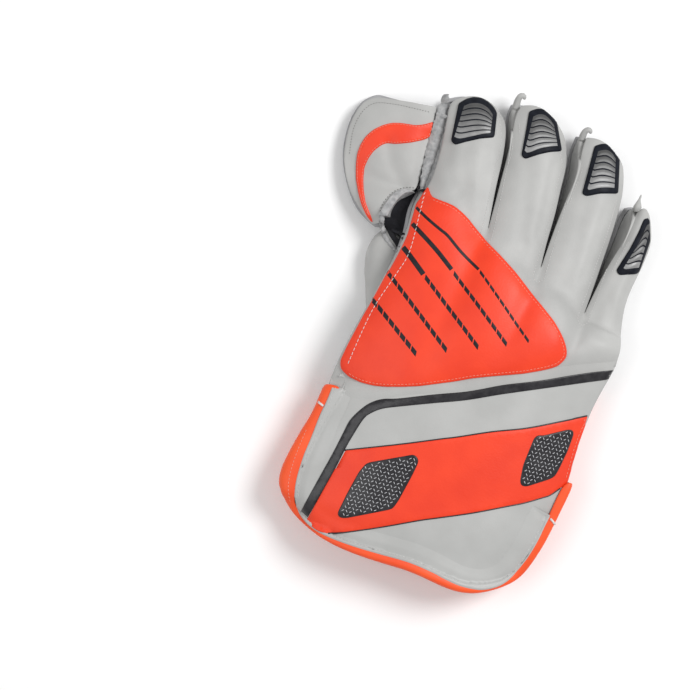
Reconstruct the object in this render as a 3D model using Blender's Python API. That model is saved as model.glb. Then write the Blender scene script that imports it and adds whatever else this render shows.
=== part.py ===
"""Wicketkeeping glove for the right hand, lying palm down.

+Y runs from the cuff to the fingertips, +X to the little finger and +Z up out of
the back of the hand.  The glove stands on z = 0 with its box centred on the origin.
Lengths are metres.  Tables hold shares of the named sizes: x counts hand widths from
the hand's axis, and a station counts along it, +1 at the middle fingertip, 0 at the
knuckles, -1 at the wrist and -2 at the lowest edge of the cuff.
"""
import math

import bmesh
import bpy
from mathutils import Vector

# Driving sizes of the outline
HAND_WIDTH = 0.140
CUFF_WIDTH = 0.175
FINGER_LENGTH = 0.120
PALM_LENGTH = 0.083
CUFF_LENGTH = 0.102

# Driving sizes of the depth
FINGER_DEPTH = 0.028
KNUCKLE_DEPTH = 0.039
HAND_DEPTH = 0.050
WRIST_DEPTH = 0.046
MOUTH_DEPTH = 0.040
PALM_ARCH = 0.008
THUMB_DEPTH = 0.0195
WEB_DEPTH = 0.018
THUMB_ROOM = 0.0014

# Walls
LEATHER = 0.0020
RUBBER = 0.0030
LINING = 0.0012
TRIM = 0.0012
GUARD = 0.0016
BACK_PAD = 0.0080
PALM_PAD = 0.0090
GAP = 0.0003
SEAT = 0.00035
SEAM = 0.0005
SLIT_CLEARANCE = 0.00036
EDGE_CORNER = 0.0042
SIDE_CORNER = 0.0030
SIDE_BULGE = 0.0010
PALM_TUCK = 0.0056

# Tables count the cuff in hand widths too: this is its width in them
CUFF_HAND_RATIO = 1.25

COLUMNS = 5
HAND_ROWS = 9
CUFF_COLUMNS = 12
RIGHT_BOUND_ROWS = 4
CUFF_GUSSET_ROWS = (1, 6)
WALL_STEPS = 4
WEB_ROWS = 14
WEB_COLUMNS = 6
LINING_ROW = 7
LINING_COLUMNS = 4

COLOURS = {
    "white_leather": ((0.60, 0.60, 0.63), 0.45, 0.0),
    "orange_leather": ((0.93, 0.08, 0.02), 0.45, 0.0),
    "orange_binding": ((1.00, 0.13, 0.03), 0.50, 0.0),
    "black_vinyl": ((0.018, 0.017, 0.020), 0.25, 0.0),
    "metal_grey": ((0.40, 0.41, 0.43), 0.30, 0.8),
    "palm_rubber": ((0.37, 0.37, 0.38), 0.75, 0.0),
    "dark_lining": ((0.020, 0.020, 0.024), 0.90, 0.0),
}

# One row per section from the slit to the tip, with the columns left, left station,
# right, right station and bow.  Bow lifts the middle of the row towards the tip
FINGERS = {
    "index": [
        (-0.389, 0.440, -0.086, 0.310, 0.000),
        (-0.374, 0.530, -0.091, 0.430, 0.000),
        (-0.369, 0.630, -0.095, 0.560, 0.006),
        (-0.371, 0.730, -0.096, 0.680, 0.012),
        (-0.375, 0.820, -0.104, 0.790, 0.022),
        (-0.377, 0.885, -0.117, 0.860, 0.036),
        (-0.362, 0.925, -0.136, 0.900, 0.056),
    ],
    "middle": [
        (-0.086, 0.310, 0.182, 0.180, 0.000),
        (-0.081, 0.430, 0.181, 0.325, 0.006),
        (-0.079, 0.570, 0.187, 0.470, 0.010),
        (-0.077, 0.690, 0.186, 0.600, 0.014),
        (-0.079, 0.820, 0.186, 0.715, 0.022),
        (-0.082, 0.915, 0.174, 0.800, 0.036),
        (-0.068, 0.980, 0.148, 0.880, 0.052),
    ],
    "ring": [
        (0.182, 0.180, 0.418, 0.010, 0.000),
        (0.195, 0.330, 0.430, 0.140, 0.004),
        (0.210, 0.470, 0.442, 0.290, 0.010),
        (0.228, 0.600, 0.453, 0.430, 0.012),
        (0.242, 0.720, 0.459, 0.560, 0.018),
        (0.240, 0.820, 0.457, 0.680, 0.030),
        (0.246, 0.900, 0.434, 0.800, 0.040),
    ],
    "little": [
        (0.418, 0.010, 0.600, -0.060, 0.000),
        (0.439, 0.125, 0.589, 0.075, 0.000),
        (0.463, 0.245, 0.596, 0.185, 0.004),
        (0.491, 0.350, 0.614, 0.285, 0.008),
        (0.515, 0.445, 0.629, 0.385, 0.012),
        (0.532, 0.540, 0.631, 0.475, 0.018),
        (0.547, 0.600, 0.610, 0.562, 0.032),
    ],
}

# How far the palm side of each finger row lies to the thumb side of its back
LEAN_LEFT = {
    "index": (0.034, 0.040, 0.042, 0.042, 0.042, 0.042, 0.038),
    "middle": (0.000, 0.004, 0.010, 0.016, 0.024, 0.036, 0.044),
    "ring": (0.000, 0.006, 0.016, 0.030, 0.042, 0.046, 0.044),
    "little": (0.000, 0.010, 0.022, 0.036, 0.048, 0.056, 0.058),
}
LEAN_RIGHT = (0.000, 0.001, 0.003, 0.006, 0.010, 0.016, 0.022)

# Heights of the back at the foot of the fingers, as shares of KNUCKLE_DEPTH, with the
# columns left edge, right edge and crown
KNUCKLES = {
    "index": (0.64, 0.84, 0.89),
    "middle": (0.84, 0.86, 1.00),
    "ring": (0.86, 0.73, 0.95),
    "little": (0.73, 0.58, 0.79),
}

# Edges of the hand, from the knuckles to the wrist: x and station
HAND_LEFT = [
    (-0.389, 0.440), (-0.425, 0.308), (-0.430, 0.183), (-0.464, 0.000),
    (-0.511, -0.277), (-0.550, -0.518), (-0.582, -0.759), (-0.596, -0.975),
]
HAND_RIGHT = [(0.600, -0.060), (0.607, -0.180), (0.607, -0.313)]

# Wrist seam, from the thumb side to the little finger side
WRIST_SEAM = [
    (-0.596, -0.975), (-0.407, -0.955), (-0.286, -0.895), (-0.143, -0.805),
    (0.000, -0.715), (0.143, -0.610), (0.286, -0.518), (0.429, -0.418),
    (0.607, -0.313),
]

# Cuff, one row per section from the wrist to the mouth, with the columns left, left
# station, right, right station and bow
CUFF_ROWS = [
    (-0.596, -0.985, 0.607, -0.325, 0.000),
    (-0.630, -1.120, 0.582, -0.590, 0.020),
    (-0.659, -1.245, 0.561, -0.820, 0.018),
    (-0.684, -1.370, 0.550, -1.040, 0.010),
    (-0.702, -1.480, 0.546, -1.216, -0.005),
    (-0.706, -1.570, 0.520, -1.390, -0.025),
    (-0.692, -1.640, 0.493, -1.560, -0.055),
    (-0.664, -1.700, 0.464, -1.700, -0.090),
    (-0.610, -1.775, 0.418, -1.835, -0.120),
]

# Web between thumb and index finger: inner and outer edge from top to thumb tip
WEB_INNER = [
    (-0.430, 0.865), (-0.430, 0.760), (-0.430, 0.640), (-0.431, 0.520),
    (-0.438, 0.430), (-0.474, 0.405), (-0.514, 0.360), (-0.540, 0.280),
    (-0.546, 0.218),
]
WEB_OUTER = [
    (-0.690, 0.850), (-0.744, 0.815), (-0.776, 0.740), (-0.788, 0.640),
    (-0.780, 0.520), (-0.750, 0.415), (-0.708, 0.330), (-0.650, 0.258),
    (-0.586, 0.200),
]
WEB_UNDER = [
    (-0.434, 0.865), (-0.434, 0.760), (-0.434, 0.640), (-0.434, 0.540),
    (-0.434, 0.450), (-0.434, 0.370), (-0.434, 0.300), (-0.434, 0.245),
    (-0.434, 0.198),
]
WEB_OUTER_UNDER = WEB_OUTER[:-1] + [(-0.570, 0.208)]

# Heights of the web as shares of WEB_DEPTH: its edge at the index finger, its free rim,
# the swell between them, the rise to the thumb, the dent across it, the distance
# between its two layers and the pocket beside the thumb
WEB_ROOT = 0.94
WEB_RIM = 0.62
WEB_SWELL = 0.26
WEB_RISE = 0.30
WEB_DENT = 0.22
WEB_DENT_PLACE = 0.62
WEB_LAYERS = 0.46
WEB_POCKET = 0.32

WEB_STRIPE = [
    (-0.420, 0.800), (-0.464, 0.767), (-0.500, 0.750), (-0.571, 0.742),
    (-0.607, 0.733), (-0.643, 0.712), (-0.679, 0.679), (-0.707, 0.633),
    (-0.721, 0.583), (-0.725, 0.533), (-0.718, 0.475), (-0.704, 0.408),
    (-0.679, 0.342), (-0.650, 0.283), (-0.614, 0.233), (-0.579, 0.204),
    (-0.600, 0.242), (-0.636, 0.300), (-0.657, 0.358), (-0.671, 0.417),
    (-0.679, 0.475), (-0.671, 0.525), (-0.657, 0.567), (-0.629, 0.608),
    (-0.607, 0.625), (-0.571, 0.629), (-0.536, 0.642), (-0.500, 0.658),
    (-0.450, 0.688), (-0.420, 0.720),
]

# Thumb stall, one row per section from its foot to its tip, with the columns x,
# station, half width in hand widths and half depth in thumb depths
THUMB = [
    (-0.352, -0.400, 0.140, 0.44),
    (-0.402, -0.230, 0.132, 0.49),
    (-0.440, -0.060, 0.122, 0.50),
    (-0.472, 0.040, 0.110, 0.50),
    (-0.497, 0.105, 0.090, 0.46),
    (-0.516, 0.160, 0.054, 0.32),
]
THUMB_TIP = (-0.526, 0.184)
THUMB_TIP_SHARE = 0.13
THUMB_LIE = 0.53
WINDOW_ROWS = (2, 5)
WINDOW_COLUMNS = (1, 5)

# Outlines of what is sewn on, as x and station
BACK_PANEL = [
    (-0.386, 0.458), (-0.414, 0.408), (-0.418, 0.308), (-0.421, 0.183),
    (-0.432, 0.117), (-0.457, 0.000), (-0.471, -0.060), (-0.504, -0.277),
    (-0.525, -0.398), (-0.543, -0.518), (-0.561, -0.639), (-0.575, -0.759),
    (-0.564, -0.819), (-0.521, -0.861), (-0.464, -0.880), (-0.407, -0.880),
    (-0.357, -0.867), (-0.286, -0.837), (-0.214, -0.801), (-0.143, -0.753),
    (-0.071, -0.705), (0.000, -0.651), (0.071, -0.608), (0.143, -0.566),
    (0.214, -0.524), (0.286, -0.470), (0.321, -0.440), (0.350, -0.410),
    (0.371, -0.361), (0.379, -0.325), (0.371, -0.277), (0.350, -0.217),
    (0.321, -0.157), (0.286, -0.096), (0.214, 0.000), (0.143, 0.062),
    (0.071, 0.129), (0.000, 0.187), (-0.071, 0.242), (-0.143, 0.304),
    (-0.179, 0.338), (-0.214, 0.362), (-0.250, 0.383), (-0.286, 0.392),
    (-0.321, 0.396), (-0.357, 0.404), (-0.371, 0.425),
]
CUFF_STRIPE = [
    (0.620, -0.340), (0.429, -0.446), (0.286, -0.548), (0.143, -0.639),
    (0.000, -0.747), (-0.143, -0.831), (-0.286, -0.922), (-0.357, -0.958),
    (-0.407, -1.010), (-0.443, -1.069), (-0.471, -1.137), (-0.486, -1.216),
    (-0.507, -1.343), (-0.536, -1.490), (-0.560, -1.620), (-0.570, -1.680),
    (-0.535, -1.690), (-0.514, -1.588), (-0.486, -1.441), (-0.464, -1.314),
    (-0.450, -1.245), (-0.421, -1.098), (-0.386, -1.044), (-0.343, -1.010),
    (-0.286, -0.976), (-0.143, -0.892), (0.000, -0.807), (0.143, -0.705),
    (0.286, -0.602), (0.429, -0.512), (0.620, -0.400),
]
CUFF_BAND = [
    (-0.464, -1.324), (-0.357, -1.270), (-0.214, -1.196), (-0.071, -1.118),
    (0.000, -1.083), (0.143, -1.000), (0.286, -0.916), (0.429, -0.807),
    (0.620, -0.680), (0.620, -1.196), (0.543, -1.196), (0.500, -1.230),
    (0.464, -1.284), (0.429, -1.314), (0.357, -1.368), (0.286, -1.412),
    (0.143, -1.500), (0.000, -1.578), (-0.071, -1.618), (-0.214, -1.706),
    (-0.357, -1.770), (-0.440, -1.790), (-0.480, -1.780), (-0.520, -1.750),
]
PATCH_LEFT = [
    (-0.336, -1.346), (-0.164, -1.240), (-0.143, -1.255), (-0.136, -1.280),
    (-0.150, -1.373), (-0.179, -1.529), (-0.196, -1.590), (-0.221, -1.608),
    (-0.386, -1.716), (-0.414, -1.722), (-0.427, -1.700), (-0.407, -1.569),
    (-0.379, -1.422), (-0.357, -1.362),
]
PATCH_RIGHT = [
    (0.364, -0.934), (0.471, -0.843), (0.493, -0.840), (0.501, -0.870),
    (0.493, -1.000), (0.475, -1.118), (0.464, -1.170), (0.446, -1.192),
    (0.350, -1.270), (0.325, -1.272), (0.315, -1.245), (0.311, -1.147),
    (0.329, -0.965), (0.343, -0.936),
]
GUARDS = {
    "index": [
        (-0.343, 0.908), (-0.314, 0.942), (-0.286, 0.961), (-0.250, 0.967),
        (-0.214, 0.954), (-0.186, 0.933), (-0.168, 0.908), (-0.154, 0.779),
        (-0.214, 0.754), (-0.271, 0.721), (-0.314, 0.692), (-0.336, 0.708),
    ],
    "middle": [
        (-0.032, 0.958), (0.000, 0.983), (0.036, 0.992), (0.071, 0.971),
        (0.100, 0.938), (0.150, 0.796), (0.100, 0.775), (0.057, 0.750),
        (0.000, 0.708), (-0.021, 0.721),
    ],
    "ring": [
        (0.286, 0.867), (0.314, 0.888), (0.343, 0.896), (0.379, 0.879),
        (0.407, 0.850), (0.436, 0.654), (0.357, 0.629), (0.300, 0.598),
        (0.279, 0.608),
    ],
    "little": [
        (0.575, 0.563), (0.614, 0.583), (0.624, 0.525), (0.624, 0.458),
        (0.610, 0.292), (0.600, 0.275), (0.525, 0.246), (0.507, 0.267),
        (0.543, 0.392), (0.564, 0.492),
    ],
}
GUARD_RIM = 0.0026

NUBBED = ("middle", "ring", "little")
NUB_RADIUS = 0.0027
NUB_LENGTH = 0.009
NUB_LEAN = (-0.35, 0.94, 0.0)

SIDE_LIP = 0.0080
FOOT_LIP = 0.0028
OPENING_LIP = 0.0026
BINDING_WALL = 0.0016
BINDING_GAP = 0.0011


def clear_scene():
    for obj in list(bpy.data.objects):
        bpy.data.objects.remove(obj, do_unlink=True)


def make_materials():
    made = {}
    for name, (colour, roughness, metallic) in COLOURS.items():
        material = bpy.data.materials.new(name)
        material.use_nodes = True
        shader = material.node_tree.nodes["Principled BSDF"]
        shader.inputs["Base Color"].default_value = (*colour, 1.0)
        shader.inputs["Roughness"].default_value = roughness
        shader.inputs["Metallic"].default_value = metallic
        made[name] = material
    return made


def smooth(low, high, value):
    share = min(1.0, max(0.0, (value - low) / (high - low)))
    return share * share * (3 - 2 * share)


def mix(a, b, share):
    return a + (b - a) * share


def along(station):
    """Distance up the hand from the knuckles to a station."""
    if station >= 0:
        return station * FINGER_LENGTH
    if station >= -1:
        return station * PALM_LENGTH
    return -PALM_LENGTH + (station + 1) * CUFF_LENGTH


def place(x, station):
    """Point of the plan at a table's x and station."""
    unit = mix(HAND_WIDTH, CUFF_WIDTH / CUFF_HAND_RATIO, smooth(0.0, 1.0, -station))
    return Vector((x * unit, along(station), 0.0))


def read_curve(points, share):
    """Point at a share of a curve through a table's points."""
    spans = len(points) - 1
    position = min(max(share, 0.0), 1.0) * spans
    index = min(int(position), spans - 1)
    t = position - index
    p1, p2 = points[index], points[index + 1]
    p0 = points[index - 1] if index > 0 else p1 * 2 - p2
    p3 = points[index + 2] if index + 2 <= spans else p2 * 2 - p1
    return 0.5 * (2 * p1 + (p2 - p0) * t + (2 * p0 - 5 * p1 + 4 * p2 - p3) * t * t
                  + (3 * p1 - p0 - 3 * p2 + p3) * t ** 3)


class Sheet:
    """Outer face of one layer: points, faces and the normal at each point."""

    def __init__(self, points, faces):
        self.points = [Vector(p) for p in points]
        self.faces = faces
        mesh = bmesh.new()
        made = [mesh.verts.new(p) for p in self.points]
        for face in faces:
            mesh.faces.new([made[i] for i in face])
        mesh.normal_update()
        self.normals = [v.normal.copy() for v in made]
        mesh.free()

    def at(self, index, depth):
        return self.points[index] - self.normals[index] * depth


def grid_sheet(rows, flip=False):
    """Sheet from rows of points; its normals turn over with flip."""
    width = len(rows[0])
    points = [p for row in rows for p in row]
    faces = []
    for i in range(len(rows) - 1):
        for j in range(width - 1):
            a = i * width + j
            face = (a, a + 1, a + width + 1, a + width)
            faces.append(face[::-1] if flip else face)
    return Sheet(points, faces)


def solid(name, points, faces, material):
    mesh = bpy.data.meshes.new(name)
    mesh.from_pydata([tuple(p) for p in points], [], faces)
    mesh.materials.append(material)
    facing = bmesh.new()
    facing.from_mesh(mesh)
    bmesh.ops.recalc_face_normals(facing, faces=facing.faces)
    facing.to_mesh(mesh)
    facing.free()
    mesh.shade_smooth()
    mesh.set_sharp_from_angle(angle=math.radians(40))
    obj = bpy.data.objects.new(name, mesh)
    bpy.context.scene.collection.objects.link(obj)
    return obj


def facing(rows, up):
    """Sheet of the rows whose outer face looks up, or down."""
    sheet = grid_sheet(rows)
    if (sum(n.z for n in sheet.normals) > 0) != up:
        sheet = grid_sheet(rows, flip=True)
    return sheet


def shell(name, sheet, wall, material, lift=0.0):
    """Closed layer of the given wall under a sheet that is lifted off its place."""
    used = sorted({i for face in sheet.faces for i in face})
    index = {old: new for new, old in enumerate(used)}
    count = len(used)
    points = [sheet.at(i, -lift) for i in used] + [sheet.at(i, wall - lift) for i in used]
    faces = triangles([tuple(index[i] for i in face) for face in sheet.faces])
    edges = {}
    for face in faces:
        for a, b in zip(face, face[1:] + face[:1]):
            edges[(a, b)] = True
    under = [tuple(i + count for i in reversed(face)) for face in faces]
    rim = [(b, a, a + count, b + count) for a, b in edges if (b, a) not in edges]
    return solid(name, points, faces + under + rim, material)


def sewn_on(name, sheet, outline, thick, lift, material):
    """Layer that lies on a sheet inside an outline of the plan."""
    layer = shell(name, sheet, thick, material, lift + thick)
    ring = list(outline) if isinstance(outline[0], Vector) else [place(*p) for p in outline]
    area = sum(a.x * b.y - b.x * a.y for a, b in zip(ring, ring[1:] + ring[:1]))
    if area < 0:
        ring.reverse()
    count = len(ring)
    low = [p - Vector((0, 0, HAND_DEPTH)) for p in ring]
    high = [p + Vector((0, 0, HAND_DEPTH * 2)) for p in ring]
    faces = [tuple(range(count, 2 * count)), tuple(reversed(range(count)))]
    faces += [(i, (i + 1) % count, (i + 1) % count + count, i + count) for i in range(count)]
    cutter = solid(name + "_outline", low + high, faces, material)
    cutter.hide_render = True
    cutter.display_type = "WIRE"
    cut = layer.modifiers.new("outline", "BOOLEAN")
    cut.operation = "INTERSECT"
    cut.object = cutter
    cut.use_self = True
    return layer


def wall_between(name, top, bottom, wall, material, bulge=0.0, slope=1.0):
    """Upright wall down the path from the top points to the bottom points."""
    rows = []
    for k in range(WALL_STEPS + 1):
        t = k / WALL_STEPS
        row = []
        for i, (high, low) in enumerate(zip(top, bottom)):
            before = top[max(i - 1, 0)]
            after = top[min(i + 1, len(top) - 1)]
            outward = Vector((before.y - after.y, after.x - before.x, 0)).normalized()
            across = min(1.0, t / slope)
            point = Vector((mix(high.x, low.x, across), mix(high.y, low.y, across),
                            mix(high.z, low.z, t)))
            row.append(point + outward * bulge * 4 * t * (1 - t))
        rows.append(row)
    return shell(name, grid_sheet(rows), wall, material)


def arch(share, power=2.4):
    return 1 - abs(2 * share - 1) ** power


def finger_rows(name, palm):
    """Rows of one finger, slit to tip, on its back or on its palm side."""
    rows = []
    table = FINGERS[name]
    last = len(table) - 1
    foot_left, foot_right, foot_crown = (k * KNUCKLE_DEPTH for k in KNUCKLES[name])
    for r, (left, left_s, right, right_s, bow) in enumerate(table):
        t = r / last
        if palm:
            left -= LEAN_LEFT[name][r]
            right -= LEAN_RIGHT[r]
        a, b = place(left, left_s), place(right, right_s)
        fade = (1 - t) ** 1.6
        tip = smooth(0.70, 1.0, t)
        row = []
        for j in range(COLUMNS + 1):
            s = j / COLUMNS
            point = a.lerp(b, s)
            point.y += bow * FINGER_LENGTH * arch(s, 2.0)
            if palm:
                point.z = FINGER_DEPTH * (0.13 * abs(2 * s - 1) ** 4 + 0.17 * smooth(0.8, 1.0, t))
                point.z += PALM_ARCH * 0.25 * smooth(0.35, 0.0, t)
                if 0 < j < COLUMNS and r not in (0, last):
                    point.z = PALM_ARCH * 0.25 * smooth(0.35, 0.0, t)
            else:
                edge = mix(0.74 * FINGER_DEPTH, mix(foot_left, foot_right, s), fade)
                crown = mix(0.98 * FINGER_DEPTH, foot_crown, fade)
                point.z = mix(edge, crown, arch(s)) - FINGER_DEPTH * tip * mix(0.12, 0.28, arch(s))
            row.append(point)
        rows.append(row)
    return rows


def thumb_room(point):
    """How much the palm lifts over the thumb, 0 to 1."""
    foot = place(THUMB[0][0], THUMB[0][1])
    tip = place(*THUMB_TIP)
    line = tip - foot
    flat = Vector((point.x, point.y, 0))
    t = min(1.2, max(-0.3, (flat - foot).dot(line) / line.length_squared))
    away = flat - (foot + line * t)
    beside = 0 <= t <= 1.0 and away.cross(line).z <= 0
    distance = 0.0 if beside else away.length
    reach = THUMB[1][2] * HAND_WIDTH
    near = smooth(reach * 1.6, reach * 0.8, distance)
    return near * smooth(-0.75, 0.05, (flat - foot).dot(line) / line.length_squared)


def hand_rows(palm):
    """Rows of the hand from the wrist seam to the slits, all four fingers across."""
    slit = []
    for name in FINGERS:
        slit += finger_rows(name, palm)[0][(1 if slit else 0):]
    lengths = [0.0]
    for a, b in zip(slit, slit[1:]):
        lengths.append(lengths[-1] + (b - a).length)
    shares = [value / lengths[-1] for value in lengths]
    seam = [place(x, s) for x, s in WRIST_SEAM]
    left_edge = [place(x, s) for x, s in reversed(HAND_LEFT)]
    right_edge = [place(x, s) for x, s in reversed(HAND_RIGHT)]
    rows = []
    for i in range(HAND_ROWS):
        v = i / (HAND_ROWS - 1)
        tuck = PALM_TUCK * (1 - v) if palm else 0.0
        left_shift = read_curve(left_edge, v) - left_edge[0].lerp(left_edge[-1], v)
        right_shift = read_curve(right_edge, v) - right_edge[0].lerp(right_edge[-1], v)
        row = []
        for j, u in enumerate(shares):
            foot = read_curve(seam, u)
            head = slit[j].copy()
            point = foot.lerp(Vector((head.x, head.y, 0)), v)
            point += (left_shift * (1 - u) + right_shift * u) * (0.0 if v in (0, 1) else 1.0)
            point.x += tuck * (1 - 2 * u)
            if palm:
                point.z = mix(PALM_ARCH * 0.35, head.z, v) + PALM_ARCH * 4 * v * (1 - v) * arch(u, 4)
                lifted = (THUMB_DEPTH + THUMB_ROOM) * thumb_room(point)
                point.z = max(point.z, lifted)
            else:
                low = WRIST_DEPTH * mix(0.58, 1.0, arch(u, 2.6))
                point.z = mix(low, head.z, v)
                swell = 4 * v * (1 - v) * (HAND_DEPTH - 0.5 * (WRIST_DEPTH + KNUCKLE_DEPTH))
                point.z += swell * mix(0.95, 1.0, arch(u))
            row.append(point)
        rows.append(row)
    return rows


class Hand:
    """Back or palm of hand and fingers as one sheet, with its edges by name."""

    def __init__(self, palm):
        points, faces = [], []
        rows = hand_rows(palm)
        width = len(rows[0])
        for row in rows:
            points += row
        for i in range(len(rows) - 1):
            for j in range(width - 1):
                a = i * width + j
                faces.append((a, a + 1, a + width + 1, a + width))
        self.width = width
        self.hand_faces = len(faces)
        top = (len(rows) - 1) * width
        self.edges = {}
        for f, name in enumerate(FINGERS):
            fingers = finger_rows(name, palm)
            before = [top + f * COLUMNS + j for j in range(COLUMNS + 1)]
            left, right = [before[0]], [before[-1]]
            for row in fingers[1:]:
                start = len(points)
                points += row
                now = [start + j for j in range(COLUMNS + 1)]
                for j in range(COLUMNS):
                    faces.append((before[j], before[j + 1], now[j + 1], now[j]))
                before = now
                left.append(now[0])
                right.append(now[-1])
            self.edges[name] = (left, before, right)
        self.left = [i * width for i in range(len(rows))]
        self.right = [i * width + width - 1 for i in range(len(rows))]
        if palm:
            faces = [face[::-1] for face in faces]
        self.sheet = Sheet(points, faces)


def cuff_rows(palm):
    """Rows of a cuff flap from the wrist seam to the mouth."""
    rows = []
    last = len(CUFF_ROWS) - 1
    seam = [place(x, s) for x, s in WRIST_SEAM]
    for r, (left, left_s, right, right_s, bow) in enumerate(CUFF_ROWS):
        t = r / last
        a, b = place(left, left_s), place(right, right_s)
        for corner, side in ((a, 1), (b, -1)):
            corner.x += side * (BINDING_WALL + BINDING_GAP) * smooth(0.0, 0.15, t)
            corner.y += (BINDING_WALL + BINDING_GAP) * smooth(0.7, 1.0, t)
        row = []
        for j in range(CUFF_COLUMNS + 1):
            s = j / CUFF_COLUMNS
            boxy = arch(s, mix(2.0, 4.0, t)) * (1 + 0.5 * t * smooth(0.5, 0.85, s))
            point = a.lerp(b, s)
            point.y += bow * CUFF_LENGTH * boxy
            if r == 0:
                point = read_curve(seam, s)
                point.y -= GAP * 2
            row.append(point)
        rows.append(row)
    middle = sum((p.x for row in rows for p in row)) / (len(rows) * len(rows[0]))
    for r, row in enumerate(rows):
        t = r / last
        for j, point in enumerate(row):
            s = j / CUFF_COLUMNS
            if palm:
                inset = mix(0.94, 0.88, t)
                point.x = middle + (point.x - middle) * inset
                point.y += CUFF_LENGTH * 0.07 * t
                edge = smooth(0.22, 0.0, min(s, 1 - s))
                point.z = PALM_ARCH * 0.42 * max(edge, smooth(0.75, 1.0, t))
            else:
                crown = mix(WRIST_DEPTH, MOUTH_DEPTH, t)
                side = mix(0.58 * WRIST_DEPTH, 0.62 * MOUTH_DEPTH, t)
                point.z = mix(side, crown, arch(s, 2.6))
                point.z -= MOUTH_DEPTH * 0.08 * smooth(0.75, 1.0, t)
    return rows


def web_rows(under):
    """Rows of the web from its top edge to the thumb's tip."""
    inner = [place(x, s) for x, s in (WEB_UNDER if under else WEB_INNER)]
    outer = [place(x, s) for x, s in (WEB_OUTER_UNDER if under else WEB_OUTER)]
    rows = []
    for i in range(WEB_ROWS + 1):
        t = i / WEB_ROWS
        a, b = read_curve(inner, t), read_curve(outer, t)
        row = []
        for j in range(WEB_COLUMNS + 1):
            s = j / WEB_COLUMNS
            point = a.lerp(b, s)
            height = mix(WEB_ROOT, WEB_RIM, s ** 1.3)
            height += WEB_SWELL * arch(s, 2.0) * smooth(1.0, 0.6, t)
            height += WEB_RISE * smooth(0.45, 0.95, t) * (1 - 0.5 * s)
            height -= WEB_DENT * math.exp(-((t - WEB_DENT_PLACE) / 0.12) ** 2) * arch(s, 2.0)
            if under:
                height -= WEB_LAYERS + WEB_POCKET * smooth(0.30, 0.60, t) * (1 - s) ** 1.2
            point.z = WEB_DEPTH * height
            row.append(point)
        rows.append(row)
    return rows


def binding(name, sheet, path, inward, pad, lips, material):
    """Folded strip round the edge of a layer: a C section along its border."""
    points, faces = [], []
    wall, gap = BINDING_WALL, BINDING_GAP
    for edge, inner, lip in zip(path, inward, lips):
        here, up = sheet.points[edge], sheet.normals[edge]
        across = sheet.points[inner] - here
        across = (across - up * across.dot(up)).normalized()
        section = [
            (-gap - wall, -pad - gap - wall), (-gap - wall, gap + wall), (lip, gap + wall),
            (lip, gap), (-gap, gap), (-gap, -pad - gap), (lip, -pad - gap),
            (lip, -pad - gap - wall),
        ]
        points += [here + across * a + up * b for a, b in section]
    count = 8
    for i in range(len(path) - 1):
        for k in range(count):
            n = (k + 1) % count
            faces.append((i * count + n, (i + 1) * count + n, (i + 1) * count + k,
                          i * count + k))
    end = (len(path) - 1) * count
    for a, b, c, d in ((1, 2, 3, 4), (0, 1, 4, 5), (0, 5, 6, 7)):
        faces.append((d, c, b, a))
        faces.append((end + a, end + b, end + c, end + d))
    return solid(name, points, triangles(faces), material)


def triangles(faces):
    split = []
    for face in faces:
        for n in range(1, len(face) - 1):
            split.append((face[0], face[n], face[n + 1]))
    return split


def inset(outline, distance):
    """Outline of the plan drawn in by a distance."""
    ring = [place(x, s) for x, s in outline]
    area = sum(a.x * b.y - b.x * a.y for a, b in zip(ring, ring[1:] + ring[:1]))
    turn = 1 if area > 0 else -1
    moved = []
    for n, here in enumerate(ring):
        before, after = ring[n - 1], ring[(n + 1) % len(ring)]
        first = (here - before).normalized()
        second = (after - here).normalized()
        normal = Vector((-(first.y + second.y), first.x + second.x, 0)).normalized() * turn
        spread = max(0.5, normal.dot(Vector((-first.y, first.x, 0)) * turn))
        moved.append(here + normal * distance / spread)
    return moved


def drawn_in(rows, distance):
    """Rows with the first row pulled towards the second by a distance."""
    first = []
    for a, b in zip(rows[0], rows[1]):
        first.append(a + (b - a).normalized() * distance)
    return [first] + rows[1:]


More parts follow.
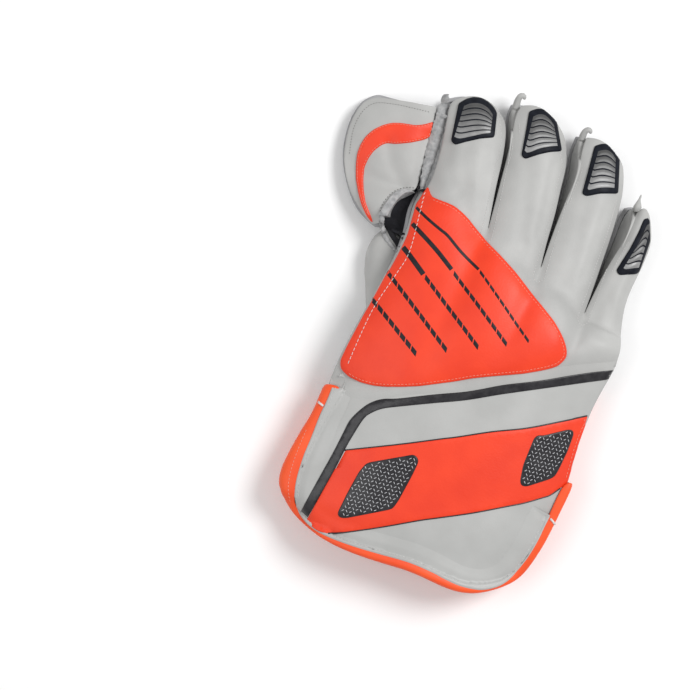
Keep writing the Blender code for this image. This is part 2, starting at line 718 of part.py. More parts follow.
def build_hand(mats):
    back = Hand(palm=False)
    palm = Hand(palm=True)
    shell("back_leather", back.sheet, LEATHER, mats["white_leather"])

    # The palm opens into the thumb stall
    width = palm.width
    hole, kept, wrist = [], [], []
    for n, face in enumerate(palm.sheet.faces):
        if n < palm.hand_faces:
            i, j = divmod(n, width - 1)
            in_rows = WINDOW_ROWS[0] <= i < WINDOW_ROWS[1]
            if in_rows and WINDOW_COLUMNS[0] <= j < WINDOW_COLUMNS[1]:
                hole.append(face)
                continue
        kept.append(face)
    cut = Sheet(palm.sheet.points, kept)
    cut.normals = palm.sheet.normals
    shell("palm_rubber", cut, RUBBER, mats["palm_rubber"])

    def wall_ends(indices, depth, sheet):
        away = Vector((0, 0, SEAM if sheet is palm.sheet else -SEAM))
        return [sheet.at(i, depth) + away for i in indices]

    for name in FINGERS:
        left, tip, right = back.edges[name]
        under_left, under_tip, under_right = palm.edges[name]
        path = left[:-1] + tip + right[-2::-1]
        under = under_left[:-1] + under_tip + under_right[-2::-1]
        top = wall_ends(path, LEATHER + SEAM, back.sheet)
        low = wall_ends(under, RUBBER + SEAM, palm.sheet)
        for line in (top, low):
            line[0] += Vector((SLIT_CLEARANCE, 0, 0))
            line[-1] -= Vector((SLIT_CLEARANCE, 0, 0))
        if name == "index":
            corner = len(left) - 1
            edge_top, edge_low = top[:corner + 1], low[:corner + 1]
            wall_between("index_edge", edge_top, edge_low, RUBBER, mats["palm_rubber"],
                         slope=0.5)
            top, low = top[corner:], low[corner:]
            for line in (top, low):
                line[0] = line[0] + (line[1] - line[0]).normalized() * EDGE_CORNER
        wall_between(name + "_gusset", top, low, LEATHER, mats["white_leather"])

    def side(name, edge, under_edge, material):
        top = wall_ends(edge, LEATHER + SEAM, back.sheet)
        low = wall_ends(under_edge, RUBBER + SEAM, palm.sheet)
        for line in (top, low):
            line[0] = line[0] + (line[1] - line[0]).normalized() * GAP
            line[-1] = line[-1] + (line[-2] - line[-1]).normalized() * SIDE_CORNER
        wall_between(name, top, low, LEATHER, material, bulge=SIDE_BULGE)

    side("thumb_side_gusset", back.left, palm.left, mats["white_leather"])
    side("outer_side_gusset", back.right[::-1], palm.right[::-1], mats["white_leather"])
    return back, palm, hole


def build_thumb(palm, hole, mats):
    """Stall that grows out of the window in the palm."""
    edges = {}
    for face in hole:
        for a, b in zip(face, face[1:] + face[:1]):
            edges[a] = edges.get(a, []) + [b]
    directed = {}
    pairs = {(a, b) for a in edges for b in edges[a]}
    for a, b in pairs:
        if (b, a) not in pairs:
            directed[a] = b
    start = min(directed)
    loop = [start]
    while directed[loop[-1]] != start:
        loop.append(directed[loop[-1]])
    base = [palm.sheet.points[i] for i in loop]
    centre = sum(base, Vector()) / len(base)
    foot, tip = place(THUMB[0][0], THUMB[0][1]), place(*THUMB_TIP)
    axis = (tip - foot).normalized()
    side = Vector((-axis.y, axis.x, 0))
    up = Vector((0, 0, 1))
    angles = []
    for p in base:
        d = p - centre
        angles.append(math.atan2(d.dot(axis), d.dot(side)))
    below = [palm.sheet.at(i, -SEAM) for i in loop]
    rings = [[p + (centre - p).normalized() * SEAM * 2 for p in below]]
    for x, station, width, depth in THUMB:
        middle = place(x, station)
        middle.z = THUMB_DEPTH * THUMB_LIE
        rings.append([middle + side * math.cos(a) * width * HAND_WIDTH
                      + up * math.sin(a) * depth * THUMB_DEPTH for a in angles])
    end = place(*THUMB_TIP)
    end.z = THUMB_DEPTH * THUMB_LIE
    rings.append([end + side * math.cos(a) * THUMB_TIP_SHARE * THUMB_DEPTH
                  + up * math.sin(a) * THUMB_TIP_SHARE * THUMB_DEPTH for a in angles])
    count = len(loop)
    points = [p for ring in rings for p in ring]
    faces = []
    for k in range(len(rings) - 1):
        for i in range(count):
            n = (i + 1) % count
            faces.append((k * count + i, k * count + n, (k + 1) * count + n,
                          (k + 1) * count + i))
    faces.append(tuple(range((len(rings) - 1) * count, len(rings) * count)))
    sheet = Sheet(points, faces)
    inside = sum(points, Vector()) / len(points)
    outward = sum((sheet.normals[i].dot(points[i] - inside) for i in range(len(points))))
    if outward < 0:
        sheet = Sheet(points, [face[::-1] for face in faces])
    shell("thumb_stall", sheet, LEATHER, mats["white_leather"])


def build_web(mats):
    web = facing(web_rows(False), up=True)
    under = facing(web_rows(True), up=False)
    shell("web_leather", web, LEATHER, mats["white_leather"])
    shell("web_rubber", under, RUBBER, mats["palm_rubber"])

    # The dark lining shows only in the opening beside the thumb
    width = WEB_COLUMNS + 1
    shown = []
    for n, face in enumerate(under.faces):
        i, j = divmod(n, WEB_COLUMNS)
        if i >= LINING_ROW and j < LINING_COLUMNS:
            shown.append(face)
    lining = Sheet(under.points, shown)
    lining.normals = under.normals
    shell("thumb_lining", lining, LINING, mats["dark_lining"], -RUBBER - 2 * GAP)

    rows = range(LINING_ROW + 1, WEB_ROWS)
    path = [i * width for i in rows]
    inward = [i * width + 1 for i in rows]
    lips = [OPENING_LIP] * len(path)
    binding("thumb_opening_binding", web, path, inward, LEATHER, lips, mats["palm_rubber"])
    return web


def build_cuff(mats):
    back = facing(cuff_rows(False), up=True)
    palm = facing(drawn_in(cuff_rows(True), PALM_PAD / 2), up=False)
    shell("cuff_back", back, BACK_PAD, mats["white_leather"])
    shell("cuff_palm", palm, PALM_PAD, mats["white_leather"])

    width = CUFF_COLUMNS + 1
    last = len(CUFF_ROWS) - 1

    def corner(i, j):
        return i * width + j

    def edge_path(right_rows):
        path = [corner(i, 0) for i in range(last)]
        inward = [corner(i, 1) for i in range(last)]
        lips = [mix(SIDE_LIP, FOOT_LIP, smooth(0.65, 1.0, i / last)) for i in range(last)]
        path += [corner(last, j) for j in range(width)]
        inward += [corner(last - 1, min(max(j, 1), width - 2)) for j in range(width)]
        lips += [FOOT_LIP] * width
        for i in range(last - 1, last - 1 - right_rows, -1):
            path.append(corner(i, width - 1))
            inward.append(corner(i, width - 2))
            lips.append(FOOT_LIP)
        return path, inward, lips

    path, inward, lips = edge_path(RIGHT_BOUND_ROWS)
    binding("cuff_back_binding", back, path, inward, BACK_PAD, lips, mats["orange_binding"])
    path, inward, lips = edge_path(last - 1)
    path, inward, lips = path[1:], inward[1:], lips[1:]
    binding("cuff_palm_binding", palm, path[::-1], inward[::-1], PALM_PAD, lips[::-1],
            mats["orange_binding"])

    # Thin leather joins the two flaps inside both edges
    for name, column in (("cuff_thumb_gusset", 1), ("cuff_outer_gusset", width - 2)):
        rows = range(*CUFF_GUSSET_ROWS)
        top = [back.at(corner(i, column), BACK_PAD + SEAM) for i in rows]
        low = [palm.at(corner(i, column), PALM_PAD + SEAM) for i in rows]
        if column == 1:
            top.reverse()
            low.reverse()
        wall_between(name, top, low, LEATHER, mats["white_leather"])
    return back


def build_trim(hand, cuff, web, mats):
    sewn_on("back_panel", hand.sheet, BACK_PANEL, TRIM, SEAT, mats["orange_leather"])
    sewn_on("cuff_stripe", cuff, CUFF_STRIPE, TRIM, SEAT, mats["black_vinyl"])
    sewn_on("cuff_band", cuff, CUFF_BAND, TRIM, SEAT, mats["orange_leather"])
    over_band = SEAT * 2 + TRIM
    sewn_on("cuff_patch_left", cuff, PATCH_LEFT, TRIM, over_band, mats["black_vinyl"])
    sewn_on("cuff_patch_right", cuff, PATCH_RIGHT, TRIM, over_band, mats["black_vinyl"])
    for name, outline in GUARDS.items():
        sewn_on("guard_base_" + name, hand.sheet, outline, GUARD, SEAT, mats["black_vinyl"])
        sewn_on("guard_slats_" + name, hand.sheet, inset(outline, GUARD_RIM), GUARD,
                SEAT * 2 + GUARD, mats["metal_grey"])
    sewn_on("web_stripe", web, WEB_STRIPE, TRIM, SEAT, mats["orange_leather"])
    for name in NUBBED:
        corner = hand.sheet.points[hand.edges[name][1][0]]
        ball = bmesh.new()
        bmesh.ops.create_uvsphere(ball, u_segments=10, v_segments=6, radius=NUB_RADIUS)
        for vert in ball.verts:
            vert.co.y *= NUB_LENGTH / (2 * NUB_RADIUS)
        mesh = bpy.data.meshes.new("seam_nub_" + name)
        ball.to_mesh(mesh)
        ball.free()
        mesh.materials.append(mats["white_leather"])
        mesh.shade_smooth()
        nub = bpy.data.objects.new("seam_nub_" + name, mesh)
        nub.location = corner + Vector(NUB_LEAN).normalized() * (NUB_LENGTH / 2 + GAP)
        bpy.context.scene.collection.objects.link(nub)


def stand_on_origin():
    """Move all pieces so that the glove's box is centred over the origin."""
    bpy.context.view_layer.update()
    graph = bpy.context.evaluated_depsgraph_get()
    corners = []
    for obj in bpy.data.objects:
        if not obj.hide_render:
            shown = obj.evaluated_get(graph)
            corners += [obj.matrix_world @ Vector(c) for c in shown.bound_box]
    low = Vector([min(c[k] for c in corners) for k in range(3)])
    high = Vector([max(c[k] for c in corners) for k in range(3)])
    shift = Vector(((low.x + high.x) / 2, (low.y + high.y) / 2, low.z))
    for obj in bpy.data.objects:
        obj.location -= shift


def main():
    clear_scene()
    mats = make_materials()
    back, palm, hole = build_hand(mats)
    build_thumb(palm, hole, mats)
    web = build_web(mats)
    cuff = build_cuff(mats)
    build_trim(back, cuff, web, mats)
    stand_on_origin()


main()
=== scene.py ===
# %% [markdown]
# # Dressing a wicketkeeper's glove
# The solids of the glove are already built: this lesson loads them as a fixed frame and
# gives every one of them its leather, rubber, thread and shine.  The glove lies palm
# down, so the padded back, the split cuff and the catching web do most of the talking.
#
# Each step says what the piece is on the real glove and how it is made here.

# %% Load the solids
import math

import bmesh
import bpy
import numpy as np
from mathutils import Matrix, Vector
from mathutils.bvhtree import BVHTree
from mathutils.geometry import delaunay_2d_cdt


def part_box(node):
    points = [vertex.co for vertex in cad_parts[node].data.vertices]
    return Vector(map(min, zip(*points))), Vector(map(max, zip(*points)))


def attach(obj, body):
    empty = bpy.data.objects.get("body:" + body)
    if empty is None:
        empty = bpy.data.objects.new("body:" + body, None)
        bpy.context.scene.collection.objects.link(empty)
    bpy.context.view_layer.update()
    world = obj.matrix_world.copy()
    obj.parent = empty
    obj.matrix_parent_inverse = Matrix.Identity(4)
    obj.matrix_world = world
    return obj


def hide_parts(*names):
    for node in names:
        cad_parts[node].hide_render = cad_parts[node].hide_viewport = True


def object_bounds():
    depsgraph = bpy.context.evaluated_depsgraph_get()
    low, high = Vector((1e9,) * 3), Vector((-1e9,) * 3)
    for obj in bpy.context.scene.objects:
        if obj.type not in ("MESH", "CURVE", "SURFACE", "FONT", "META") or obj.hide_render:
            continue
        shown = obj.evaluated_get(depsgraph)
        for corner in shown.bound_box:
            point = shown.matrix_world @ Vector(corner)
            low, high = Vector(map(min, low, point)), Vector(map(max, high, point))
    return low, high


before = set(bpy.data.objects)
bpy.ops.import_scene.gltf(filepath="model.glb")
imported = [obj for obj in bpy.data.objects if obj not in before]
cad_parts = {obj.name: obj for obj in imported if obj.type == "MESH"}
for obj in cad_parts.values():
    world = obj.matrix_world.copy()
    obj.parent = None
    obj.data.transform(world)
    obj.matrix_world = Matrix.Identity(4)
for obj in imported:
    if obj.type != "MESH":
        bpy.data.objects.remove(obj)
solid_low, solid_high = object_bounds()
print("solids:", len(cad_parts), "size in mm:",
      [round((b - a) * 1000, 1) for a, b in zip(solid_low, solid_high)])

# %% [markdown]
# ## A way to say where things are
# A glove maker measures from the knuckles.  The plan places below are millimetres from
# a mark on the knuckle line, +x towards the little finger and +y towards the
# fingertips.  The mark is found from the box of the leather back, so it follows the
# solids and nothing has to be fitted by eye.

# %% Plan places
MM = 0.001
BACK_LOW, BACK_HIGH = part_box("back_leather")
MARK_FROM_THUMB_SIDE = 83.4 * MM
MARK_FROM_WRIST = 47.9 * MM
MARK = np.array([BACK_LOW.x + MARK_FROM_THUMB_SIDE, BACK_LOW.y + MARK_FROM_WRIST])
ABOVE = BACK_HIGH.z + 0.1


def plan(places):
    """Places in millimetres from the mark, as metres in the frame."""
    return MARK + np.array(places, float) * MM


print("mark in mm:", (MARK * 1000).round(1))

# %% [markdown]
# ## Finishes
# A finish is a Principled shader fed by a little noise.  Two things sell a material
# close up: its colour is never quite even, and light catches a fine relief.  One helper
# lays the mottled colour, another the relief, and every finish below is those two with
# different numbers.

# %% Finish helpers
def finish(name, colour, roughness, metallic=0.0, **sockets):
    """New material with a Principled shader; sockets are set by their names."""
    material = bpy.data.materials.new(name)
    material.use_nodes = True
    shader = material.node_tree.nodes["Principled BSDF"]
    shader.inputs["Base Color"].default_value = (*colour, 1.0)
    shader.inputs["Roughness"].default_value = roughness
    shader.inputs["Metallic"].default_value = metallic
    for socket, value in sockets.items():
        shader.inputs[socket.replace("_", " ")].default_value = value
    return material


def noise(material, size, detail=3.0, stretch=(1, 1, 1)):
    """Noise whose blotches are about size metres across."""
    nodes, links = material.node_tree.nodes, material.node_tree.links
    where = nodes.new("ShaderNodeTexCoord")
    scale = nodes.new("ShaderNodeMapping")
    scale.inputs["Scale"].default_value = stretch
    texture = nodes.new("ShaderNodeTexNoise")
    texture.inputs["Scale"].default_value = 1 / size
    texture.inputs["Detail"].default_value = detail
    links.new(where.outputs["Object"], scale.inputs["Vector"])
    links.new(scale.outputs["Vector"], texture.inputs["Vector"])
    return texture


def mottle(material, light, dark, size, edge=(0.35, 0.65)):
    """Base colour that drifts between two colours over blotches of a size."""
    nodes, links = material.node_tree.nodes, material.node_tree.links
    ramp = nodes.new("ShaderNodeValToRGB")
    ramp.color_ramp.elements[0].position = edge[0]
    ramp.color_ramp.elements[1].position = edge[1]
    ramp.color_ramp.elements[0].color = (*dark, 1.0)
    ramp.color_ramp.elements[1].color = (*light, 1.0)
    links.new(noise(material, size).outputs["Fac"], ramp.inputs["Fac"])
    links.new(ramp.outputs["Color"], nodes["Principled BSDF"].inputs["Base Color"])
    return ramp


def relief(material, height, depth, before=None):
    """Bump from a height socket; a second relief is laid over the one before it."""
    nodes, links = material.node_tree.nodes, material.node_tree.links
    bump = nodes.new("ShaderNodeBump")
    bump.inputs["Distance"].default_value = depth
    links.new(height, bump.inputs["Height"])
    if before:
        links.new(before.outputs["Normal"], bump.inputs["Normal"])
    links.new(bump.outputs["Normal"], nodes["Principled BSDF"].inputs["Normal"])
    return bump


def pebble(material, size):
    """Pebbled cells of hide, about size metres across, as a height socket."""
    nodes, links = material.node_tree.nodes, material.node_tree.links
    where = nodes.new("ShaderNodeTexCoord")
    cells = nodes.new("ShaderNodeTexVoronoi")
    cells.inputs["Scale"].default_value = 1 / size
    cells.inputs["Randomness"].default_value = 0.9
    links.new(where.outputs["Object"], cells.inputs["Vector"])
    return cells.outputs["Distance"]

# %% [markdown]
# The hide is dyed and lightly coated, so it has a soft sheen and a fine pebble.  The
# orange hide is the same leather in another dye.  The black print and the finger guards
# are glossier, with the tiny crackle of foil that has been flexed.

# %% Leather, vinyl, metal and rubber
def hide(name, light, dark, roughness, grain=1.1 * MM, depth=0.05 * MM):
    leather = finish(name, light, roughness, Specular_IOR_Level=0.42)
    mottle(leather, light, dark, 26 * MM)
    soft = relief(leather, noise(leather, 7 * MM, detail=4.0).outputs["Fac"], 0.10 * MM)
    relief(leather, pebble(leather, grain), depth, soft)
    return leather


WHITE_HIDE = hide("white hide", (0.445, 0.445, 0.434), (0.395, 0.395, 0.386), 0.52)
CUFF_HIDE = hide("cuff hide", (0.450, 0.452, 0.442), (0.410, 0.412, 0.402), 0.46, 0.8 * MM,
                 0.03 * MM)
ORANGE_HIDE = hide("orange hide", (0.850, 0.050, 0.011), (0.770, 0.038, 0.008), 0.48)
BINDING_HIDE = hide("binding hide", (0.900, 0.098, 0.018), (0.820, 0.072, 0.013), 0.50)

BLACK_FOIL = finish("black foil", (0.014, 0.013, 0.016), 0.36, Specular_IOR_Level=0.35,
                    Coat_Weight=0.15, Coat_Roughness=0.22)
mottle(BLACK_FOIL, (0.026, 0.025, 0.028), (0.010, 0.009, 0.012), 5 * MM)
relief(BLACK_FOIL, noise(BLACK_FOIL, 1.6 * MM, detail=6.0).outputs["Fac"], 0.09 * MM)

BLACK_PRINT = finish("black print", (0.014, 0.013, 0.015), 0.50, Specular_IOR_Level=0.25)
mottle(BLACK_PRINT, (0.020, 0.018, 0.021), (0.009, 0.008, 0.010), 3 * MM)
relief(BLACK_PRINT, pebble(BLACK_PRINT, 1.1 * MM), 0.03 * MM)

GUARD_RUBBER = finish("guard rubber", (0.006, 0.008, 0.012), 0.50, Specular_IOR_Level=0.12)
mottle(GUARD_RUBBER, (0.011, 0.013, 0.019), (0.006, 0.007, 0.011), 4 * MM)
relief(GUARD_RUBBER, noise(GUARD_RUBBER, 1.0 * MM).outputs["Fac"], 0.03 * MM)

PALM_RUBBER = finish("palm rubber", (0.330, 0.330, 0.340), 0.62)
mottle(PALM_RUBBER, (0.380, 0.380, 0.390), (0.290, 0.290, 0.300), 14 * MM)
relief(PALM_RUBBER, noise(PALM_RUBBER, 0.9 * MM, detail=5.0).outputs["Fac"], 0.05 * MM)

RAW_RUBBER = finish("raw rubber edge", (0.340, 0.345, 0.350), 0.80)
mottle(RAW_RUBBER, (0.460, 0.460, 0.460), (0.300, 0.305, 0.310), 2.6 * MM)
brushed = relief(RAW_RUBBER, noise(RAW_RUBBER, 0.5 * MM, stretch=(1, 5, 1)).outputs["Fac"],
                 0.25 * MM)
relief(RAW_RUBBER, noise(RAW_RUBBER, 3 * MM, detail=6.0).outputs["Fac"], 0.5 * MM, brushed)

# The lining cloth is near black: its colour is painted shade for the hollow thumb opening.
SHADE_PAINTED_CLOTH = finish("cloth with painted shade", (0.010, 0.010, 0.014), 0.95, Sheen_Weight=0.25)
mottle(SHADE_PAINTED_CLOTH, (0.018, 0.018, 0.024), (0.008, 0.008, 0.011), 9 * MM)
weave = noise(SHADE_PAINTED_CLOTH, 0.7 * MM, stretch=(1, 3, 1))
relief(SHADE_PAINTED_CLOTH, weave.outputs["Fac"], 0.2 * MM)

print("finishes:", len(bpy.data.materials))

# %% [markdown]
# Thread is dull and a little furry, so it has some sheen and no gloss.  The slats on the
# fingertips are metal.  Each slat is a copy of one material with its own brightness,
# darker towards the tip.

# %% Threads and metal
def thread(name, colour):
    spun = finish(name, colour, 0.70, Sheen_Weight=0.20)
    mottle(spun, colour, tuple(c * 0.75 for c in colour), 0.6 * MM)
    return spun


WHITE_THREAD = thread("white thread", (0.780, 0.740, 0.720))
PALE_THREAD = thread("pale thread", (0.620, 0.610, 0.600))
PINK_THREAD = thread("pink thread", (0.900, 0.330, 0.240))
# Needle holes are small dark grey marks: painted shade for the hollow of each hole.
HOLE_SHADE_PAINT = finish("painted hole shade", (0.160, 0.155, 0.150), 0.90)
mottle(HOLE_SHADE_PAINT, (0.190, 0.185, 0.180), (0.120, 0.115, 0.110), 0.4 * MM)
SLIT_SILVER = finish("slit silver", (0.560, 0.570, 0.590), 0.40)
mottle(SLIT_SILVER, (0.620, 0.630, 0.650), (0.440, 0.450, 0.470), 1.0 * MM)

SLATS = 6
SLAT_DARK = 0.08
SLAT_FADE = 0.22
SLAT_METALS = []
for step in range(SLATS):
    bright = SLAT_DARK + SLAT_FADE * (1 - step / (SLATS - 1)) ** 1.3
    metal = finish(f"slat metal {step + 1}", (bright, bright, bright * 1.03), 0.48, 0.35)
    mottle(metal, (bright * 1.10,) * 3, (bright * 0.90,) * 3, 6 * MM)
    fine = noise(metal, 0.25 * MM, stretch=(1, 6, 1))
    relief(metal, fine.outputs["Fac"], 0.02 * MM)
    SLAT_METALS.append(metal)
print("slat metals:", len(SLAT_METALS))

# %% [markdown]
# ## From facets to leather
# The solids are faceted.  A soft surface is had by pairing their triangles back into
# quads and subdividing.  Plain subdivision pulls a form inwards, so the control points
# are first pushed out until the smooth surface passes through the solid's own corners:
# the glove keeps its size, and its seams keep meeting.

# %% Flowing copies
WELD = 0.02 * MM
SMALL_TURN = math.radians(40)
ANY_SHAPE = math.radians(70)
RIM_TURN = math.radians(55)


def welded(node, pair_up=True):
    """Bmesh of one CAD solid with shared corners, its triangles paired into quads."""
    mesh = bmesh.new()
    mesh.from_mesh(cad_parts[node].data)
    bmesh.ops.remove_doubles(mesh, verts=mesh.verts, dist=WELD)
    if pair_up:
        bmesh.ops.join_triangles(mesh, faces=mesh.faces, angle_face_threshold=SMALL_TURN,
                                 angle_shape_threshold=ANY_SHAPE, topology_influence=1.0)
    bmesh.ops.recalc_face_normals(mesh, faces=mesh.faces)
    return mesh


def corners(mesh):
    flat = np.empty(len(mesh.vertices) * 3)
    mesh.vertices.foreach_get("co", flat)
    return flat.reshape(-1, 3)


def move_corners(mesh, places):
    mesh.vertices.foreach_set("co", np.asarray(places, float).ravel())
    mesh.update()


def evaluated(piece):
    bpy.context.view_layer.update()
    return piece.evaluated_get(bpy.context.evaluated_depsgraph_get())


def new_piece(name, mesh, material):
    piece = bpy.data.objects.new(name, mesh)
    bpy.context.scene.collection.objects.link(piece)
    mesh.materials.clear()
    mesh.materials.append(material)
    mesh.shade_smooth()
    return piece


def flowing(name, node, material, levels=2, crisp=0.5):
    """Smooth piece that passes through the corners of a CAD solid and replaces it."""
    source = welded(node)
    crease = source.edges.layers.float.new("crease_edge")
    for edge in source.edges:
        if edge.calc_face_angle(0.0) > RIM_TURN:
            edge[crease] = crisp
    mesh = bpy.data.meshes.new(name)
    source.to_mesh(mesh)
    source.free()
    piece = new_piece(name, mesh, material)
    flow = piece.modifiers.new("flow", "SUBSURF")
    flow.levels = levels
    flow.render_levels = levels
    goal = corners(mesh)
    for _ in range(3):
        reached = corners(evaluated(piece).data)[:len(goal)]
        move_corners(mesh, corners(mesh) + goal - reached)
    smooth_mesh = bpy.data.meshes.new_from_object(evaluated(piece))
    piece.modifiers.clear()
    piece.data = smooth_mesh
    smooth_mesh.shade_smooth()
    places = corners(smooth_mesh)
    places[:, 2] = np.maximum(places[:, 2], solid_low.z)
    move_corners(smooth_mesh, places)
    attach(piece, "root")
    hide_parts(node)
    return piece


print("steepest turn that stays smooth, in degrees:", round(math.degrees(RIM_TURN)))

# %% [markdown]
# ## Small things that lie on the leather
# Stitches, prints and guards all lie on a curved surface.  They are drawn in plan and
# dropped onto it: a ray is sent down through each point, and where it lands gives the
# height and the tilt.  First come the paths: a smooth curve through a few chosen places.

# %% Smooth paths
def run_along(path):
    """Distance walked along a path up to each of its points."""
    return np.concatenate([[0], np.cumsum(np.linalg.norm(np.diff(path, axis=0), axis=1))])


def sampled(path, run, at):
    """Points of a path where its run has the given values."""
    return np.stack([np.interp(at, run, column) for column in path.T], axis=1)


def smooth_path(places, step, closed=False):
    """Places at equal steps along a curve through the given ones, in metres."""
    places = np.asarray(places, float)
    count = len(places)
    spans = count if closed else count - 1
    fine = []
    for n in range(spans):
        if closed:
            p0, p1, p2, p3 = (places[(n + k) % count] for k in (-1, 0, 1, 2))
        else:
            p1, p2 = places[n], places[n + 1]
            p0 = places[n - 1] if n else 2 * p1 - p2
            p3 = places[n + 2] if n + 2 < count else 2 * p2 - p1
        for t in np.linspace(0, 1, 12, endpoint=False):
            fine.append(0.5 * (2 * p1 + (p2 - p0) * t + (2 * p0 - 5 * p1 + 4 * p2 - p3) * t * t
                               + (3 * p1 - p0 - 3 * p2 + p3) * t ** 3))
    fine.append(places[0] if closed else places[-1])
    fine = np.array(fine)
    run = run_along(fine)
    number = max(2, int(round(run[-1] / step)))
    path = sampled(fine, run, np.linspace(0, run[-1], number + 1))
    return path[:-1] if closed else path


def sideways(ahead):
    """Unit steps to the left of the steps ahead, in plan."""
    side = np.stack([-ahead[:, 1], ahead[:, 0]], axis=1)
    return side / (np.linalg.norm(side, axis=1)[:, None] + 1e-12)


def between(one, other):
    """Ring that runs along one path and comes back along another."""
    return np.vstack([one, other[::-1]])


print("points on a 10 mm path at 2 mm:", len(smooth_path(plan([(0, 0), (10, 0)]), 2 * MM)))

# %% [markdown]
# Where a ray lands on a steep wall its height jumps, so there the nearest place of the
# surface is taken instead.  A search tree makes thousands of such rays quick.

# %% Drops
def tree_of(*shown):
    """Search tree of the surfaces that rays are dropped onto."""
    points, faces = [], []
    for piece in shown:
        base = len(points)
        points += [v.co.copy() for v in piece.data.vertices]
        faces += [[base + i for i in f.vertices] for f in piece.data.polygons]
    return BVHTree.FromPolygons(points, faces)


STEEP = 0.25


def drop(tree, x, y):
    """Place and tilt of a surface under a point of the plan."""
    hit, normal, _, _ = tree.ray_cast(Vector((x, y, ABOVE)), Vector((0, 0, -1)))
    if hit is None or normal.z < STEEP:
        guess = hit.z if hit is not None else (BACK_LOW.z + BACK_HIGH.z) / 2
        hit, normal, _, _ = tree.find_nearest(Vector((x, y, guess)))
        if normal.z < STEEP:
            normal = Vector((normal.x * 0.5, normal.y * 0.5, 1.0)).normalized()
    return hit, normal


def drop_under(tree, x, y):
    """Like drop, but from below, for what lies on the palm side."""
    hit, normal, _, _ = tree.ray_cast(Vector((x, y, -ABOVE)), Vector((0, 0, 1)))
    if hit is None:
        hit, normal, _, _ = tree.find_nearest(Vector((x, y, 0)))
    return hit, normal if normal.z < -STEEP else Vector((0, 0, -1))


print("steepest slope a ray may land on, in degrees:", round(math.degrees(math.acos(STEEP))))

# %% [markdown]
# Two layers that meet leave a groove or a step.  A strip that is sewn over a groove is
# held tight across it, so its height is a line fitted to both sides.  Hide that is folded
# over a step lies on the highest point close by.

# %% Over grooves and steps
GROOVE_REACH = np.linspace(-5, 5, 9) * MM
GROOVE_DEPTH = 0.25 * MM
GAP_DEPTH = 6 * MM
CREST_REACH = 0.9 * MM


def over_groove(laid, outward, reaches=GROOVE_REACH):
    """A drop that spans a groove running across y: a line fitted to both its sides."""
    def spanning(tree, x, y):
        heights = outward * np.array([laid(tree, x, y + reach)[0].z for reach in reaches])
        sound = heights > heights.max() - GAP_DEPTH
        line = (0.0, heights.max())
        for _ in range(3):
            if sound.sum() < 3:
                break
            line = np.polyfit(reaches[sound], heights[sound], 1)
            sound &= heights - np.polyval(line, reaches) > -GROOVE_DEPTH
        _, normal = laid(tree, x, y + reaches[0])
        return Vector((x, y, outward * line[1])), normal
    return spanning


def drop_on_crest(tree, x, y):
    """Like drop, but at the height of the highest point close by, to pass over a step."""
    hit, normal = drop(tree, x, y)
    around = ((CREST_REACH, 0), (-CREST_REACH, 0), (0, CREST_REACH), (0, -CREST_REACH))
    height = max([hit.z] + [drop(tree, x + dx, y + dy)[0].z for dx, dy in around])
    return Vector((x, y, height)), normal


print("a groove is looked for within mm:", round(GROOVE_REACH[-1] / MM, 1))

# %% [markdown]
# Every small piece is a list of points and faces.  Joining the many parts of one piece
# into one mesh keeps the count of pieces low, and one helper says what it stands for.

# %% Joining parts
def joined(name, parts, material, nodes=(), lowest=0.0):
    """One piece from many (points, faces) parts; it rides and stands for its nodes."""
    points, faces = [], []
    for some_points, some_faces in parts:
        base = len(points)
        points += [(x, y, max(z, solid_low.z + lowest)) for x, y, z in some_points]
        faces += [tuple(base + i for i in f) for f in some_faces]
    mesh = bpy.data.meshes.new(name)
    mesh.from_pydata(points, [], faces)
    piece = new_piece(name, mesh, material)
    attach(piece, "root")
    if nodes:
        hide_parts(*nodes)
    return piece


# %% [markdown]
# A stitch is a short fat capsule that lies along its seam.  A texture could fake it, but
# real ones catch the light and cast a small shadow.

# %% Stitches
CAPSULE_RINGS = ((-0.50, 0.0), (-0.44, 0.6), (-0.25, 1.0), (0.25, 1.0), (0.44, 0.6), (0.50, 0.0))
CAPSULE_SIDES = 6


def capsule(centre, forward, up, length, thick):
    """A short fat stitch: a capsule that lies along forward."""
    side = up.cross(forward).normalized()
    points = [centre + forward * (-0.5 * length)]
    for along, share in CAPSULE_RINGS[1:-1]:
        for k in range(CAPSULE_SIDES):
            turn = 2 * math.pi * k / CAPSULE_SIDES
            points.append(centre + forward * (along * length)
                          + (side * math.cos(turn) + up * math.sin(turn)) * (share * thick / 2))
    points.append(centre + forward * (0.5 * length))
    last = len(points) - 1
    faces = []
    rings = len(CAPSULE_RINGS) - 2
    for k in range(CAPSULE_SIDES):
        n = (k + 1) % CAPSULE_SIDES
        faces.append((0, 1 + n, 1 + k))
        for r in range(rings - 1):
            a = 1 + r * CAPSULE_SIDES
            faces.append((a + k, a + n, a + CAPSULE_SIDES + n, a + CAPSULE_SIDES + k))
        a = 1 + (rings - 1) * CAPSULE_SIDES
        faces.append((a + k, a + n, last))
    return points, faces


def stitches(tree, path, pitch=2.6 * MM, length=1.9 * MM, thick=0.55 * MM, closed=False,
             laid=drop):
    """Run of stitches along a plan path, in metres."""
    parts = []
    route = smooth_path(path, pitch, closed)
    for before, after in zip(route, route[1:]):
        middle = (before + after) / 2
        hit, up = laid(tree, *middle)
        forward = Vector((*(after - before), 0.0))
        forward = (forward - up * forward.dot(up)).normalized()
        parts.append(capsule(hit + up * (thick * 0.15), forward, up, length, thick))
    return parts


def threaded(name, tree, runs, yarn, slot, **sewn):
    """One piece of thread from runs of stitches."""
    joined(name, [part for run in runs for part in stitches(tree, run, **sewn)], yarn)


print("rings of points in a stitch:", len(CAPSULE_RINGS))

# %% [markdown]
# Pipings, rolled seams and the lip of the thumb opening are tubes.  A tube is a ring of
# points at each place of its route, turned to face along it.

